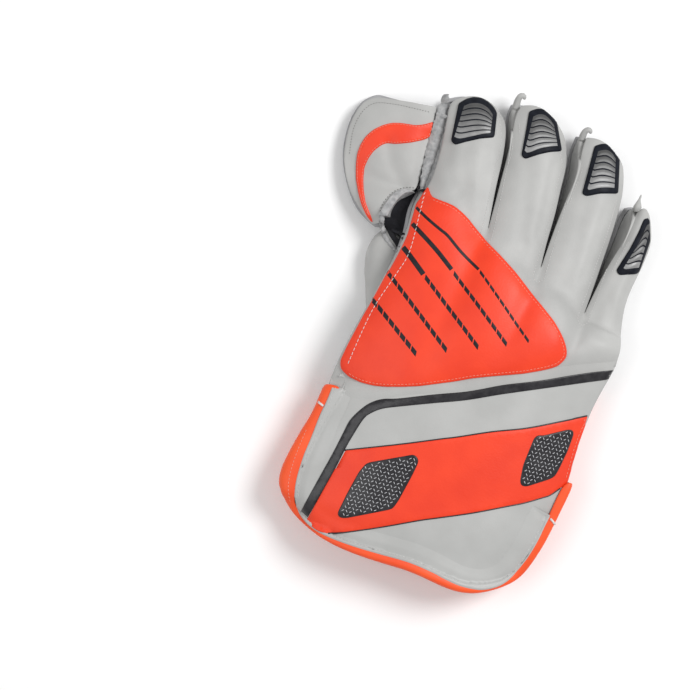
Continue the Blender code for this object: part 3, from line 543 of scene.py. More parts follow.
# %% Tubes and cords
def tube(route, radii, sides=8):
    """Closed tube through 3D points with a radius at each."""
    route = [Vector(p) for p in route]
    points, faces = [], []
    up = Vector((0, 0, 1))
    for n, (here, radius) in enumerate(zip(route, radii)):
        forward = (route[min(n + 1, len(route) - 1)] - route[max(n - 1, 0)]).normalized()
        side = forward.cross(up)
        if side.length < 0.2:
            side = forward.cross(Vector((1, 0, 0)))
        side.normalize()
        top = side.cross(forward)
        for k in range(sides):
            turn = 2 * math.pi * k / sides
            points.append(here + (side * math.cos(turn) + top * math.sin(turn)) * radius)
    for n in range(len(route) - 1):
        for k in range(sides):
            m = (k + 1) % sides
            a = n * sides
            faces.append((a + k, a + sides + k, a + sides + m, a + m))
    faces.append(tuple(range(sides)))
    faces.append(tuple(reversed(range((len(route) - 1) * sides, len(route) * sides))))
    return points, faces


def cord_on(tree, path, radius, sink=0.3, step=2.0 * MM):
    """Thin cord sunk a little into the surface along a plan path."""
    route = []
    for place in smooth_path(path, step):
        hit, up = drop(tree, *place)
        route.append(hit + up * radius * (1 - 2 * sink))
    return tube(route, [radius] * len(route), sides=6)


print("corners of a short tube:", len(tube([(0, 0, 0), (0, MM, 0)], [MM, MM])[0]))

# %% [markdown]
# A patch needs to know which places of the plan lie inside its ring, and how far they are
# from its edge.  Both are plain geometry, done for all places at once.

# %% Inside and distance
def inside(places, ring):
    """Which places of the plan lie inside a ring."""
    within = np.zeros(len(places), bool)
    x, y = places[:, 0], places[:, 1]
    for a, b in zip(ring, np.roll(ring, -1, axis=0)):
        crosses = (a[1] > y) != (b[1] > y)
        slope = (b[0] - a[0]) / (b[1] - a[1] + 1e-12)
        within ^= crosses & (x < a[0] + slope * (y - a[1]))
    return within


def distance_to(places, path, closed=False):
    """Distance of each place of the plan from a path."""
    path = np.asarray(path, float)
    ends = np.roll(path, -1, axis=0) if closed else path[1:]
    nearest = np.full(len(places), 1.0)
    for a, b in zip(path, ends):
        run = b - a
        share = np.clip(((places - a) @ run) / (run @ run + 1e-15), 0, 1)
        away = places - a - share[:, None] * run
        nearest = np.minimum(nearest, np.hypot(away[:, 0], away[:, 1]))
    return nearest


def runs_left(ring):
    """Whether a plan ring runs anticlockwise, with its inside to the left."""
    x, y = ring.T
    return np.sum(x * np.roll(y, -1) - np.roll(x, -1) * y) > 0


print("a point is inside a square:", inside(np.array([(0.5, 0.5)]),
                                            np.array([(0, 0), (1, 0), (1, 1), (0, 1)])))

# %% [markdown]
# Sewn-on leather is thin, with an edge that rounds down into the hide below.  Its ring is
# filled with even triangles by a Delaunay mesh, and every point is dropped and then lifted
# by a profile that grows away from the edge.  Shrinkwrap could lay a flat cut-out down
# too, but the rounded edge would be lost on the way.

# %% Patches
FEATHER = 6 * MM
PULLS = 20
PULL_STEP = 0.3 * MM
EDGE_ROWS = (0.35, 1.0)
ROW_SHARE = 0.87
PUFF_REACH = 6 * MM


def lands(tree, x, y):
    """Whether a ray from above meets the surface there at an easy slope."""
    hit, normal, _, _ = tree.ray_cast(Vector((x, y, ABOVE)), Vector((0, 0, -1)))
    return hit is not None and normal.z > 2 * STEEP


def filled(ring, inward, mesh_size, edge):
    """Places and triangles inside a plan ring: rows along its edge, then an even grid."""
    places = [ring]
    for share in EDGE_ROWS:
        offset = ring + inward * edge * share
        keep = inside(offset, ring) & (distance_to(offset, ring, True) > edge * share * 0.8)
        places.append(offset[keep])
    low, high = ring.min(0), ring.max(0)
    grid = []
    rows = int((high[1] - low[1]) / (mesh_size * ROW_SHARE)) + 1
    for r in range(rows + 1):
        shift = mesh_size / 2 if r % 2 else 0.0
        for x in np.arange(low[0] + shift, high[0], mesh_size):
            grid.append((x, low[1] + r * mesh_size * ROW_SHARE))
    grid = np.array(grid)
    keep = inside(grid, ring) & (distance_to(grid, ring, True) > edge + mesh_size * 0.5)
    places = np.concatenate(places + [grid[keep]])
    loop = list(range(len(ring)))
    flat, _, faces, _, _, _ = delaunay_2d_cdt([Vector(p) for p in places], [], [loop], 1, 1e-7)
    return np.array([(p.x, p.y) for p in flat]), faces


def patch(tree, ring, thick, mesh_size=2.2 * MM, edge=0.8 * MM, puff=0.0, sunk=0.15 * MM,
          fading=False, feather=None, laid=drop, pulls=PULLS):
    """Flat layer inside a closed plan ring, in metres, with a rounded or a fading edge.

    A feather path is a part of the ring where the layer thins out over FEATHER metres."""
    ring = np.asarray(ring, float)
    if not runs_left(ring):
        ring = ring[::-1]
    inward = sideways(np.roll(ring, -1, axis=0) - np.roll(ring, 1, axis=0))
    for n in range(len(ring)):
        for _ in range(pulls):
            if lands(tree, *ring[n]):
                break
            ring[n] += inward[n] * PULL_STEP
    flat, faces = filled(ring, inward, mesh_size, edge)
    depth = distance_to(flat, ring, True)
    thinned = np.ones(len(flat))
    if feather is not None:
        thinned = np.minimum(1.0, distance_to(flat, feather) / FEATHER)
    points = []
    for (x, y), away, keep_share in zip(flat, depth, thinned):
        hit, up = laid(tree, x, y)
        share = min(1.0, away / edge)
        profile = share * share * (3 - 2 * share) if fading else math.sqrt(share * (2 - share))
        rise = -sunk + (thick + sunk) * profile * keep_share
        rise += puff * min(1.0, away / PUFF_REACH) ** 0.7
        points.append(hit + up * rise)
    return points, [tuple(f) for f in faces]


def sewn_on(name, tree, ring, thick, material, nodes=(), slot=None, lowest=0.0, **cut):
    """A piece that is one patch."""
    return joined(name, [patch(tree, ring, thick, **cut)], material, nodes, lowest)


def dense(ring, step=0.9 * MM):
    """Ring with more points on its straight runs, its corners kept."""
    made = []
    for a, b in zip(ring, np.roll(ring, -1, axis=0)):
        number = max(1, int(np.linalg.norm(b - a) / step))
        made += [a + (b - a) * k / number for k in range(number)]
    return np.array(made)


print("rows of a patch along its edge:", len(EDGE_ROWS))

# %% [markdown]
# The outline of a sewn-on piece is read from its solid: the edges between its upper faces
# and all others form a ring, which is spaced evenly and has its corners softened.

# %% Rings from the solids
def ring_of(node, step=1.2 * MM, soften=2):
    """Plan ring round the upper face of a thin CAD solid, its corners softened."""
    mesh = welded(node, pair_up=False)
    upper = {f for f in mesh.faces if f.normal.z > 2 * STEEP}
    after = {}
    for face in (f for f in mesh.faces if f in upper):
        for loop in face.loops:
            if not any(f in upper for f in loop.edge.link_faces if f is not face):
                after[loop.vert.index] = loop.link_loop_next.vert.index
    mesh.verts.ensure_lookup_table()
    rings = []
    while after:
        start, here = next(iter(after.items()))
        ring = [start]
        while here != start and here in after:
            ring.append(here)
            here = after.pop(here)
        after.pop(start, None)
        rings.append([tuple(mesh.verts[i].co.xy) for i in ring])
    mesh.free()
    ring = np.array(max(rings, key=len))
    closed = np.vstack([ring, ring[:1]])
    run = run_along(closed)
    ring = sampled(closed, run, np.linspace(0, run[-1], int(run[-1] / step), endpoint=False))
    for _ in range(soften):
        ring = (np.roll(ring, 1, axis=0) + 2 * ring + np.roll(ring, -1, axis=0)) / 4
    return ring


print("ring of the big panel:", len(ring_of("back_panel")), "points")

# %% [markdown]
# ## The leather back
# Four finger stalls and the back of the hand are one hide.  It is a flowing copy of its
# solid, then pressed: each slit pulls the leather down beside it, the stitched border of
# a finger sinks a little, and long soft folds run down the fingers where they bend.

# %% The back and its folds
SLITS = {
    "index": [(-13, 62), (-12, 70), (-12.5, 95), (-13, 110), (-12.5, 120), (-14, 130), (-18, 141)],
    "middle": [(25, 47), (25.5, 54.5), (26, 65), (27, 80), (27.5, 95), (26.5, 110), (27, 120),
               (23.5, 131)],
    "ring": [(58, 28), (58.5, 34), (60, 45), (61.5, 60), (62.5, 70), (64, 85), (64.5, 95),
             (65, 108)],
}
BACK_FOLDS = [
    ([(-38, 132), (-36, 110), (-33, 90)], 0.7, 5.0),
    ([(-24, 118), (-21, 95), (-17, 72)], 0.5, 3.5),
    ([(2, 116), (6, 95), (9, 70), (10, 55)], 0.7, 5.0),
    ([(18, 120), (19, 95), (19, 75)], 0.5, 3.0),
    ([(42, 104), (43, 85), (43, 62), (40, 45)], 0.7, 5.0),
    ([(56, 104), (54, 80), (52, 55)], 0.5, 3.0),
    ([(76, 80), (73, 62), (68, 45), (62, 25)], 0.5, 3.5),
    ([(-13, 58), (0, 50), (22, 42), (30, 38)], 0.5, 6.0),
    ([(34, 30), (50, 22), (70, 10), (83, 8)], 0.6, 6.0),
    ([(60, 30), (68, 24), (80, 22)], 0.5, 3.0),
    ([(-46, 112), (-43, 98), (-36, 88)], 0.6, 4.0),
    ([(-30, 92), (-27, 78), (-22, 66)], 0.7, 5.0),
    ([(12, 66), (18, 50), (26, 38)], 0.6, 5.0),
    ([(46, 44), (52, 36), (57, 24)], 0.6, 4.0),
    ([(70, 52), (74, 40), (76, 30)], 0.5, 4.0),
]


def press(piece, folds):
    """Press folds into a piece: plan path in mm, depth in mm and half width in mm."""
    places = corners(piece.data)
    plan_places = places[:, :2]
    sunk = np.zeros(len(places))
    for path, depth, width in folds:
        away = distance_to(plan_places, smooth_path(plan(path), 3 * MM))
        sunk += depth * MM * np.exp(-(away / (width * MM)) ** 2)
    places[:, 2] -= sunk
    move_corners(piece.data, places)


back = flowing("back_of_hand", "back_leather", WHITE_HIDE, levels=3)
press(back, BACK_FOLDS)
press(back, [(path, 0.9, 2.6) for path in SLITS.values()])
back_tree = tree_of(back)
print("back:", len(back.data.vertices), "corners")

# %% [markdown]
# ## Walls, thumb and web
# Between back and palm run the side walls of the fingers, cut from the same white hide.
# The thumb is a stall of its own under the hand, and the web is a curved double layer of
# leather and rubber that catches the ball.  All of them are flowing copies too.

# %% Soft walls
WALLS = {
    "index_wall": "index_gusset",
    "middle_wall": "middle_gusset",
    "ring_wall": "ring_gusset",
    "little_wall": "little_gusset",
    "thumb_side_wall": "thumb_side_gusset",
    "outer_side_wall": "outer_side_gusset",
    "cuff_thumb_wall": "cuff_thumb_gusset",
    "cuff_outer_wall": "cuff_outer_gusset",
    "thumb": "thumb_stall",
}
for name, node in WALLS.items():
    flowing(name, node, WHITE_HIDE)
print("walls:", len(WALLS))

# %% [markdown]
# The palm and the web are the parts that take the ball.  The lining of the thumb opening is
# a sheet held at its edges on the real glove.  Here it is a flowing copy of its solid, and its
# near-black colour is painted shade.

# %% Palm, web and thumb opening
palm = flowing("palm", "palm_rubber", PALM_RUBBER, levels=3)
raw_edge = flowing("raw_index_edge", "index_edge", RAW_RUBBER, levels=3)
web = flowing("catching_web", "web_leather", WHITE_HIDE, levels=3)
web_under = flowing("web_palm_side", "web_rubber", PALM_RUBBER, levels=2)
lining = flowing("thumb_opening_lining", "thumb_lining", SHADE_PAINTED_CLOTH, levels=2)
flowing("thumb_opening_edge", "thumb_opening_binding", RAW_RUBBER, levels=3)
WEB_FOLDS = [([(-84, 108), (-80, 98), (-74, 90), (-68, 84)], 1.6, 5.0),
             ([(-62, 118), (-61, 100), (-60, 88)], 0.8, 4.0)]
press(web, WEB_FOLDS)
web_tree = tree_of(web)
print("web:", len(web.data.vertices), "corners")

# %% [markdown]
# Where the web meets the index finger, and round the thumb opening, the cut edge of the
# rubber is left raw.  It is ragged, so its two edges wander a little by summed sines.

# %% Raw strip at the index finger
STRIP_LEFT = [(-58.6, 145.8), (-59.2, 138), (-60, 125), (-60.4, 112), (-60, 100), (-59.4, 92),
              (-58.4, 85)]
STRIP_RIGHT = [(-55.0, 146.4), (-53.4, 138), (-52.8, 125), (-53.4, 112), (-54.4, 100),
               (-55.4, 92), (-56.4, 85)]
STRIP_ROWS = 46
STRIP_ACROSS = 6
STRIP_LIFT = 0.5 * MM
STRIP_CROWN = 1.2 * MM


def ragged(count, seed, size):
    """Summed sines, in metres, that look like a cut by hand."""
    n = np.arange(count)
    return size * (np.sin(n * 1.7 + seed) + 0.7 * np.sin(n * 3.1 + 2 * seed) + 0.5 * np.sin(n * 5.3))


def sheet_faces(rows, across):
    """Quads of a sheet of points that lie in rows."""
    return [(n, n + 1, n + 1 + across, n + across) for r in range(rows - 1)
            for n in range(r * across, (r + 1) * across - 1)]


def raw_strip(left, right, left_tree, right_tree):
    """Bent sheet between two ragged edges, each lying on its own surface."""
    sides = []
    for path, seed in ((left, 1.0), (right, 4.0)):
        fine = smooth_path(plan(path), 0.4 * MM)
        run = sampled(fine, np.arange(len(fine)), np.linspace(0, len(fine) - 1, STRIP_ROWS))
        run[:, 0] += ragged(STRIP_ROWS, seed, 0.28 * MM)
        sides.append(run)
    points = []
    for (ax, ay), (bx, by) in zip(*sides):
        a, _ = drop(left_tree, ax, ay)
        b, _ = drop(right_tree, bx, by)
        for k in range(STRIP_ACROSS + 1):
            share = k / STRIP_ACROSS
            rise = STRIP_LIFT + STRIP_CROWN * math.sin(math.pi * share)
            points.append((ax + (bx - ax) * share, ay + (by - ay) * share,
                           a.z + (b.z - a.z) * share + rise))
    return points, sheet_faces(STRIP_ROWS, STRIP_ACROSS + 1)


joined("raw_web_strip", [raw_strip(STRIP_LEFT, STRIP_RIGHT, web_tree, tree_of(back, raw_edge))],
       RAW_RUBBER)
print("raw strip rows:", STRIP_ROWS)

# %% [markdown]
# The lip of the thumb opening is a rolled, uneven edge, so it is a tube that gets thinner
# towards its end.  A dark cloth patch closes the foot of the hole behind it.

# %% The lip of the thumb opening is a rolled, uneven edge, so it is a tube that gets thinner
# towards its end.  A near-black cloth patch closes the foot of the hole behind it: painted
# shade for the hollow of the opening.
LIP = [(-77.0, 64.5), (-76.6, 60), (-75.0, 56.4), (-72.2, 52), (-68, 47.8), (-63.6, 44.6),
       (-60.6, 42.8)]
HOLE_FOOT = [(-75, 62), (-73.4, 57.4), (-70, 52.8), (-66, 49), (-62.4, 46), (-60, 50), (-62, 57),
             (-67, 63)]
lip_tree = tree_of(web, bpy.data.objects["thumb"], lining, bpy.data.objects["thumb_side_wall"])
lip_path = smooth_path(plan(LIP), 1.0 * MM)
lip_path[:, 0] += ragged(len(lip_path), 2.0, 0.12 * MM)
lip_route = [(x, y, drop(lip_tree, x, y)[0].z + 0.5 * MM) for x, y in lip_path]
lip_wave = 1.0 + 0.12 * np.sin(np.arange(len(lip_route)) * 1.9)
lip_radii = lip_wave * np.linspace(1.9, 0.9, len(lip_route))
joined("thumb_opening_lip", [tube(lip_route, list(lip_radii * MM))], RAW_RUBBER)
sewn_on("thumb_opening_painted_shade", lip_tree, dense(smooth_path(plan(HOLE_FOOT), 1.0 * MM, True)),
        0.35 * MM, SHADE_PAINTED_CLOTH, slot="dark_lining", mesh_size=1.2 * MM)
print("lip points:", len(lip_route))

# %% [markdown]
# ## Rolled seams and their nubs
# Beside each slit the hide of the next finger is turned over and sewn, which leaves a
# soft rolled ridge.  Its end stands up at the fingertip: two of them curl over into a
# hook, and the last one is a spike.

# %% Ridges
RIDGES = {
    "middle": ([(-9.4, 112), (-10.2, 122), (-11.4, 135), (-12.4, 148)],
               [(-12.6, 152.5), (-12.0, 155.6), (-10.6, 157.0), (-9.2, 156.4), (-8.7, 154.9)], 1.9),
    "ring": ([(31.6, 97), (33.0, 106), (34.2, 120), (33.2, 130), (32.2, 139)],
             [(32.2, 142.6), (32.9, 145.2), (34.4, 146.3), (35.8, 145.6), (36.2, 144.2)], 1.8),
    "little": ([(71.6, 80), (73.6, 90), (75, 100), (75.2, 107)],
               [(75.4, 110.2), (75.7, 112.6), (76.0, 115.2)], 0.7),
}
RIDGE_FOOT_RADIUS = 0.35
RIDGE_TIP_RADIUS = 2.5
CURL_ROUNDS = 0.7


def seam_ridge(tree, finger, ridge, curl, thick):
    """Tube that runs up the ridge of a finger and ends in its curl."""
    low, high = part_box("seam_nub_" + finger)
    nub_height = (low.z + high.z) / 2
    route, radii = [], []
    along = smooth_path(plan(ridge), 2.0 * MM)
    for n, (x, y) in enumerate(along):
        share = n / (len(along) - 1)
        radius = (RIDGE_FOOT_RADIUS + (RIDGE_TIP_RADIUS - RIDGE_FOOT_RADIUS) * share ** 2) * MM
        height = drop(tree, x, y)[0].z
        route.append(Vector((x, y, height - radius * 0.25)))
        radii.append(radius)
    last = route[-1].copy()
    ends = smooth_path(np.vstack([along[-1:], plan(curl)]), 0.9 * MM)[1:]
    for n, (x, y) in enumerate(ends):
        share = (n + 1) / len(ends)
        radius = RIDGE_TIP_RADIUS + (thick - RIDGE_TIP_RADIUS) * min(1.0, share * 1.6)
        if share > CURL_ROUNDS:
            radius *= math.sqrt(max(0.08, 1 - ((share - CURL_ROUNDS) / (1 - CURL_ROUNDS)) ** 2))
        ease = min(1.0, share * 1.5)
        route.append(Vector((x, y, last.z + (nub_height - last.z) * ease)))
        radii.append(radius * MM)
    return tube(route, radii, sides=10)


ridge_tree = tree_of(back, *(bpy.data.objects[name] for name in WALLS))
for finger, (ridge, curl, thick) in RIDGES.items():
    joined(finger + "_seam_ridge", [seam_ridge(ridge_tree, finger, ridge, curl, thick)], WHITE_HIDE,
           ["seam_nub_" + finger])
print("ridges:", len(RIDGES))

# %% [markdown]
# ## The split cuff
# Two padded flaps guard the wrist.  Foam under the hide makes them thick and slightly
# crowned.  They are bound with bright orange leather that is folded over the edge.

# %% Cuff flaps
cuff_back = flowing("cuff_back_flap", "cuff_back", CUFF_HIDE, levels=3)
cuff_palm = flowing("cuff_palm_flap", "cuff_palm", CUFF_HIDE, levels=3)
binding_back = flowing("cuff_back_edge", "cuff_back_binding", BINDING_HIDE, levels=3, crisp=0.1)
flowing("cuff_palm_edge", "cuff_palm_binding", BINDING_HIDE, levels=3, crisp=0.1)
print("cuff:", len(cuff_back.data.vertices), "corners")

# %% [markdown]
# ## What is sewn on
# Panels are cut from thin hide and sewn down, so their edges are rounded and a little
# sunk.  First comes a strip of hide that hides the seam between hand and cuff.  It fades
# out at its edges, as leather does that is pared thin to lie flat.

# %% The strip over the wrist seam
WRIST_SEAM = [(-84, -47.6), (-60, -40.6), (-30, -31.8), (0, -22.0), (30, -11.6), (60, -1.4),
              (85.5, 7.0)]
TAPE_ABOVE = np.array([0, 6.0]) * MM
TAPE_BELOW = np.array([0, 9.0]) * MM
tape_ring = between(smooth_path(plan(WRIST_SEAM) + TAPE_ABOVE, 2.0 * MM),
                    smooth_path(plan(WRIST_SEAM) - TAPE_BELOW, 2.0 * MM))
tape = sewn_on("wrist_tape", tree_of(cuff_back, back), tape_ring, 0.40 * MM, WHITE_HIDE,
               slot="white_leather", mesh_size=1.6 * MM, edge=4.0 * MM, sunk=0.35 * MM,
               fading=True, laid=over_groove(drop, 1))
print("wrist strip:", len(tape.data.polygons), "faces")

# %% [markdown]
# The hide of the cuff is folded out over its binding and sewn down there.  The line of
# that fold is one path, and the layer thins out on its inner side.

# %% Hide along the binding
BINDING_INNER = [(-80, -33), (-80.6, -40), (-82.6, -55), (-84.6, -65), (-86.6, -80), (-88.4, -92),
                 (-89.2, -105), (-88.4, -115), (-85.8, -122.4), (-81.6, -128.6), (-74, -133.6),
                 (-64.6, -136.4), (-50, -138.2), (-30, -139), (-10, -139.6), (5, -142),
                 (15, -144.6), (25, -146.4), (37, -146), (46, -142.6), (52.4, -137.4),
                 (57.4, -129.2), (61.6, -118.6), (64.8, -107.4), (66.6, -98), (68.4, -91.4)]
COVER_WIDTH = 13 * MM
rim = smooth_path(plan(BINDING_INNER), 2.0 * MM)
rim_in = sideways(np.gradient(rim, axis=0))
cover_in = rim + rim_in * COVER_WIDTH
cover_fade = np.vstack([rim[-1:], cover_in[::-1], rim[:1]])
cover = sewn_on("cuff_edge_hide", tree_of(cuff_back, binding_back), between(rim, cover_in),
                0.80 * MM, CUFF_HIDE, slot="white_leather", mesh_size=1.1 * MM, edge=1.3 * MM,
                sunk=0.30 * MM, feather=cover_fade, laid=drop_on_crest)
print("binding line:", len(rim), "points")

# %% [markdown]
# The big orange panel is padded a little.  The band across the cuff is flat, and its four
# sides are drawn as paths of their own so that its corners stay sharp.

# %% Big panel and band
panel = sewn_on("back_panel_hide", back_tree, ring_of("back_panel"), 1.3 * MM, ORANGE_HIDE,
                ["back_panel"], puff=0.5 * MM)
BAND_TOP = [(-64.5, -82.6), (-50, -77.2), (-30, -69.7), (-10, -61.8), (0, -58), (20, -49.7),
            (40, -42.6), (60, -33.6), (78.6, -24.8)]
BAND_SIDE = [(78.4, -32), (77.4, -42), (76.6, -50), (76.4, -60), (76.0, -68)]
BAND_FOOT = [(75.6, -70.4), (70, -73.6), (65, -79), (60, -82), (50, -87.5), (40, -92), (20, -101),
             (0, -109), (-10, -113), (-30, -122), (-50, -130.5), (-62, -134.8), (-76.5, -134.6)]
BAND_END = [(-76.8, -130), (-71.6, -110), (-67.6, -95)]
band_ring = np.vstack([smooth_path(plan(run), 1.4 * MM)
                       for run in (BAND_TOP, BAND_SIDE, BAND_FOOT, BAND_END)])
band = sewn_on("cuff_band_hide", tree_of(cuff_back, cover), band_ring, 0.8 * MM, ORANGE_HIDE,
               ["cuff_band"])
print("panel and band:", [len(p.data.polygons) for p in (panel, band)], "faces")

# %% [markdown]
# The black stripe bends down beside the band, so it is a ring between an upper and a
# lower path.  It lies over the wrist strip and crosses from the hand to the cuff.

# %% Stripes and foil patches
STRIPE_TOP = [(84.6, 5.2), (72, 0.8), (60, -4), (40, -12.5), (20, -20), (0, -29), (-20, -36),
              (-40, -43.5), (-50, -46.5), (-57, -51), (-62, -57), (-66, -64), (-68, -72),
              (-71, -85), (-75, -100), (-79, -115), (-81.8, -126.4)]
STRIPE_FOOT = [(84, -1.0), (72, -5.6), (60, -10.3), (40, -18.2), (20, -26.2), (0, -34.8),
               (-20, -41.8), (-40, -49), (-48, -52.2), (-53.4, -55.8), (-57.8, -61),
               (-62.2, -74), (-64.4, -82), (-67.4, -95), (-71.4, -110), (-76.6, -128.8)]
stripe_ring = between(smooth_path(plan(STRIPE_TOP), 1.4 * MM),
                      smooth_path(plan(STRIPE_FOOT), 1.4 * MM))
stripe = sewn_on("cuff_stripe_foil", tree_of(cuff_back, cover, back, tape), stripe_ring,
                 0.55 * MM, BLACK_FOIL, ["cuff_stripe"], mesh_size=1.8 * MM, edge=0.5 * MM)
web_stripe = sewn_on("web_stripe_hide", web_tree, ring_of("web_stripe"), 1.1 * MM, ORANGE_HIDE,
                     ["web_stripe"], mesh_size=1.8 * MM)
panel_tree = tree_of(panel, back)
band_tree = tree_of(band, cuff_back, cover, stripe)
web_top_tree = tree_of(web_stripe, web)
PATCHES = ("cuff_patch_left", "cuff_patch_right")
patch_pieces = [sewn_on(node + "_foil", band_tree, ring_of(node), 0.5 * MM, BLACK_FOIL, [node])
                for node in PATCHES]
patch_tree = tree_of(*patch_pieces)
print("stripes:", [len(p.data.polygons) for p in (stripe, web_stripe)], "faces")

# %% [markdown]
# A thin black piping closes the long edges of the band, and the two foil patches are
# slit all over: short silver cuts that lean left and right by turns, in a lattice.

# %% Piping and slits
PIPING = 0.50 * MM
joined("cuff_band_piping", [cord_on(band_tree, plan(BAND_TOP[:-1] + [(75.6, -26.4)]), PIPING),
                            cord_on(band_tree, plan(BAND_FOOT[1:-1]), PIPING)],
       BLACK_FOIL)

CUT_PITCH = 2.4 * MM
CUT_LENGTH = 1.8 * MM
CUT_THICK = 0.46 * MM
CUT_LEAN = math.radians(38)
CUT_MARGIN = 1.3 * MM


def slit_lattice(tree, ring):
    """Short cuts in a lattice inside a plan ring, leaning left and right by turns."""
    parts = []
    low, high = ring.min(0), ring.max(0)
    for row, y in enumerate(np.arange(low[1], high[1], CUT_PITCH)):
        for column, x in enumerate(np.arange(low[0], high[0], CUT_PITCH)):
            place = np.array([[x + CUT_PITCH / 2 * (row % 2), y]])
            if not inside(place, ring)[0] or distance_to(place, ring, True)[0] < CUT_MARGIN:
                continue
            lean = CUT_LEAN if (row + column) % 2 else math.pi / 2 + CUT_LEAN
            hit, up = drop(tree, *place[0])
            forward = Vector((math.cos(lean), math.sin(lean), 0.0))
            forward = (forward - up * forward.dot(up)).normalized()
            parts.append(capsule(hit, forward, up, CUT_LENGTH, CUT_THICK))
    return parts


cuts = []
for node in PATCHES:
    cuts += slit_lattice(patch_tree, ring_of(node, soften=4))
joined("cuff_patch_slits", cuts, SLIT_SILVER)
print("slits:", len(cuts))

# %% [markdown]
# The panel is printed with three solid stripes and five slanting rows of dashes.  A print
# has almost no height, but as a thin layer of its own it keeps a crisp edge at any
# distance, which a painted texture would not.

# %% Dashes on the panel
SOLID_STRIPES = [
    ([(-58, 73), (-53, 69.5), (-47, 66), (-40, 62.5), (-35, 60), (-25, 52.5), (-12, 44.5)], 1.9),
    ([(-58, 62.5), (-53, 59), (-45, 53.5), (-38, 48.5), (-28, 40.5)], 2.8),
    ([(-60, 47), (-55, 43), (-44, 33.5)], 3.2),
]
DASHED_STRIPES = [
    ((-11, 43.5), (28.5, 8.5), 10, 2.2),
    ((-26.2, 38.8), (16, 3.5), 10, 2.9),
    ((-42.6, 32.3), (-0.5, -2.4), 10, 3.2),
    ((-66, 30.2), (-18.6, -8.8), 11, 3.3),
    ((-70.5, 11.2), (-36, -15.3), 8, 3.4),
]
DASH_SHARE = 0.86
PRINT = 0.12 * MM


def ribbon_ring(path, width):
    """Plan ring round a strip of a width along a path, both in millimetres."""
    route = smooth_path(plan(path), 2.0 * MM)
    side = sideways(np.gradient(route, axis=0))
    return between(route + side * width * MM / 2, route - side * width * MM / 2)


printed = []
for path, width in SOLID_STRIPES:
    printed.append(patch(panel_tree, dense(ribbon_ring(path, width)), PRINT, mesh_size=1.6 * MM,
                         edge=0.2 * MM, sunk=0.02 * MM))
for start, end, count, width in DASHED_STRIPES:
    run = (np.array(end) - np.array(start)) / count
    lean = np.array([0.0, -1.0]) * width
    for k in range(count):
        low = np.array(start) + run * k
        high = low + run * DASH_SHARE
        corner = [low - lean / 2, high - lean / 2, high + lean / 2, low + lean / 2]
        printed.append(patch(panel_tree, dense(plan(corner), 0.8 * MM), PRINT,
                             mesh_size=1.4 * MM, edge=0.2 * MM, sunk=0.02 * MM))
joined("panel_stripes", printed, BLACK_PRINT)
print("stripes:", len(SOLID_STRIPES), "solid and", sum(d[2] for d in DASHED_STRIPES), "dashes")

# %% [markdown]
# ## Finger guards
# A moulded black frame is glued to each fingertip, and six metallic slats lie in it,
# brightest near the hand.  A slat is a strip between two lines of a patch that blends
# from the frame's foot to its tip, bowed a little so that it catches the light.

# %% Guards
GUARDS = {
    "index": ([(-46.2, 120.0), (-42.5, 119.5), (-35, 123), (-29, 126), (-24.2, 128)],
              [(-44.8, 142), (-41, 144.8), (-35, 146.2), (-29.5, 144.6), (-25.3, 140.8)]),
    "middle": ([(-2.0, 122.0), (0.5, 121), (7, 125.5), (13, 128.5), (18.3, 130.6)],
               [(-1.6, 146.2), (1.5, 148.6), (5, 149.2), (9, 147.4), (12.8, 144)]),
    "ring": ([(41.3, 108.6), (42.3, 107.8), (48, 110.6), (53, 112.3), (58.4, 113.6)],
             [(42.7, 135.3), (45.5, 136.9), (48.5, 137.6), (51.8, 136.4), (55, 133.4)]),
    "little": ([(74.6, 66.4), (76.2, 66.0), (79.5, 67.2), (82.5, 68.3), (84.6, 69.2)],
               [(81.8, 89), (82.4, 94.5), (83.3, 98.2), (84.9, 100), (86, 98.2)]),
}
SLAT_GAP = 0.24
SLAT_RISE = 0.35 * MM
FRAME_SHARE = 0.95
SLAT_ACROSS = 12
SLAT_ALONG = 6


def slat(tree, foot, tip, start, end):
    """Bowed strip of a guard between two shares of the way from foot to tip."""
    points = []
    for r in range(SLAT_ALONG + 1):
        v = start + (end - start) * r / SLAT_ALONG
        across = foot + (tip - foot) * v
        bow = math.sin(math.pi * r / SLAT_ALONG)
        for c, (x, y) in enumerate(across):
            end_fall = min(1.0, c / 1.5, (len(across) - 1 - c) / 1.5)
            hit, up = drop(tree, x, y)
            points.append(hit + up * (SLAT_RISE * (0.15 + 0.85 * min(bow, end_fall))))
    return points, sheet_faces(SLAT_ALONG + 1, len(foot))


for finger, (foot, tip) in GUARDS.items():
    node = "guard_base_" + finger
    base = sewn_on(finger + "_guard_frame", back_tree, ring_of(node, soften=1), 1.3 * MM,
                   GUARD_RUBBER, [node], mesh_size=1.6 * MM, edge=1.1 * MM)
    base_tree = tree_of(base, back)
    middle = np.mean(foot + tip, axis=0)
    lines = []
    for run in (foot, tip):
        fine = smooth_path(plan(middle + (np.array(run) - middle) * FRAME_SHARE), 0.2 * MM)
        lines.append(sampled(fine, np.linspace(0, 1, len(fine)),
                             np.linspace(0, 1, SLAT_ACROSS + 1)))
    slats = [slat(base_tree, *lines, (k + SLAT_GAP / 2) / SLATS, (k + 1 - SLAT_GAP / 2) / SLATS)
             for k in range(SLATS)]
    piece = joined(finger + "_guard_slats", slats, SLAT_METALS[0], ["guard_slats_" + finger])
    for metal in SLAT_METALS[1:]:
        piece.data.materials.append(metal)
    per_slat = SLAT_ACROSS * SLAT_ALONG
    for face in piece.data.polygons:
        face.material_index = face.index // per_slat
print("guards:", len(GUARDS))

# %% [markdown]
# ## Thread
# A glove is held together by visible lines of stitching: white down the thumb side of the
# panel, and pink where orange leather is sewn down.  A line that follows an edge is that
# edge's ring, drawn in, and it stops where another line crosses it.

# %% Stitch lines on the panel
THUMB_SIDE_SEAM = [(-55, 84), (-55, 70), (-55.5, 45), (-60, 30), (-68, 8), (-72, -10),
                   (-74.5, -25), (-75.5, -31)]


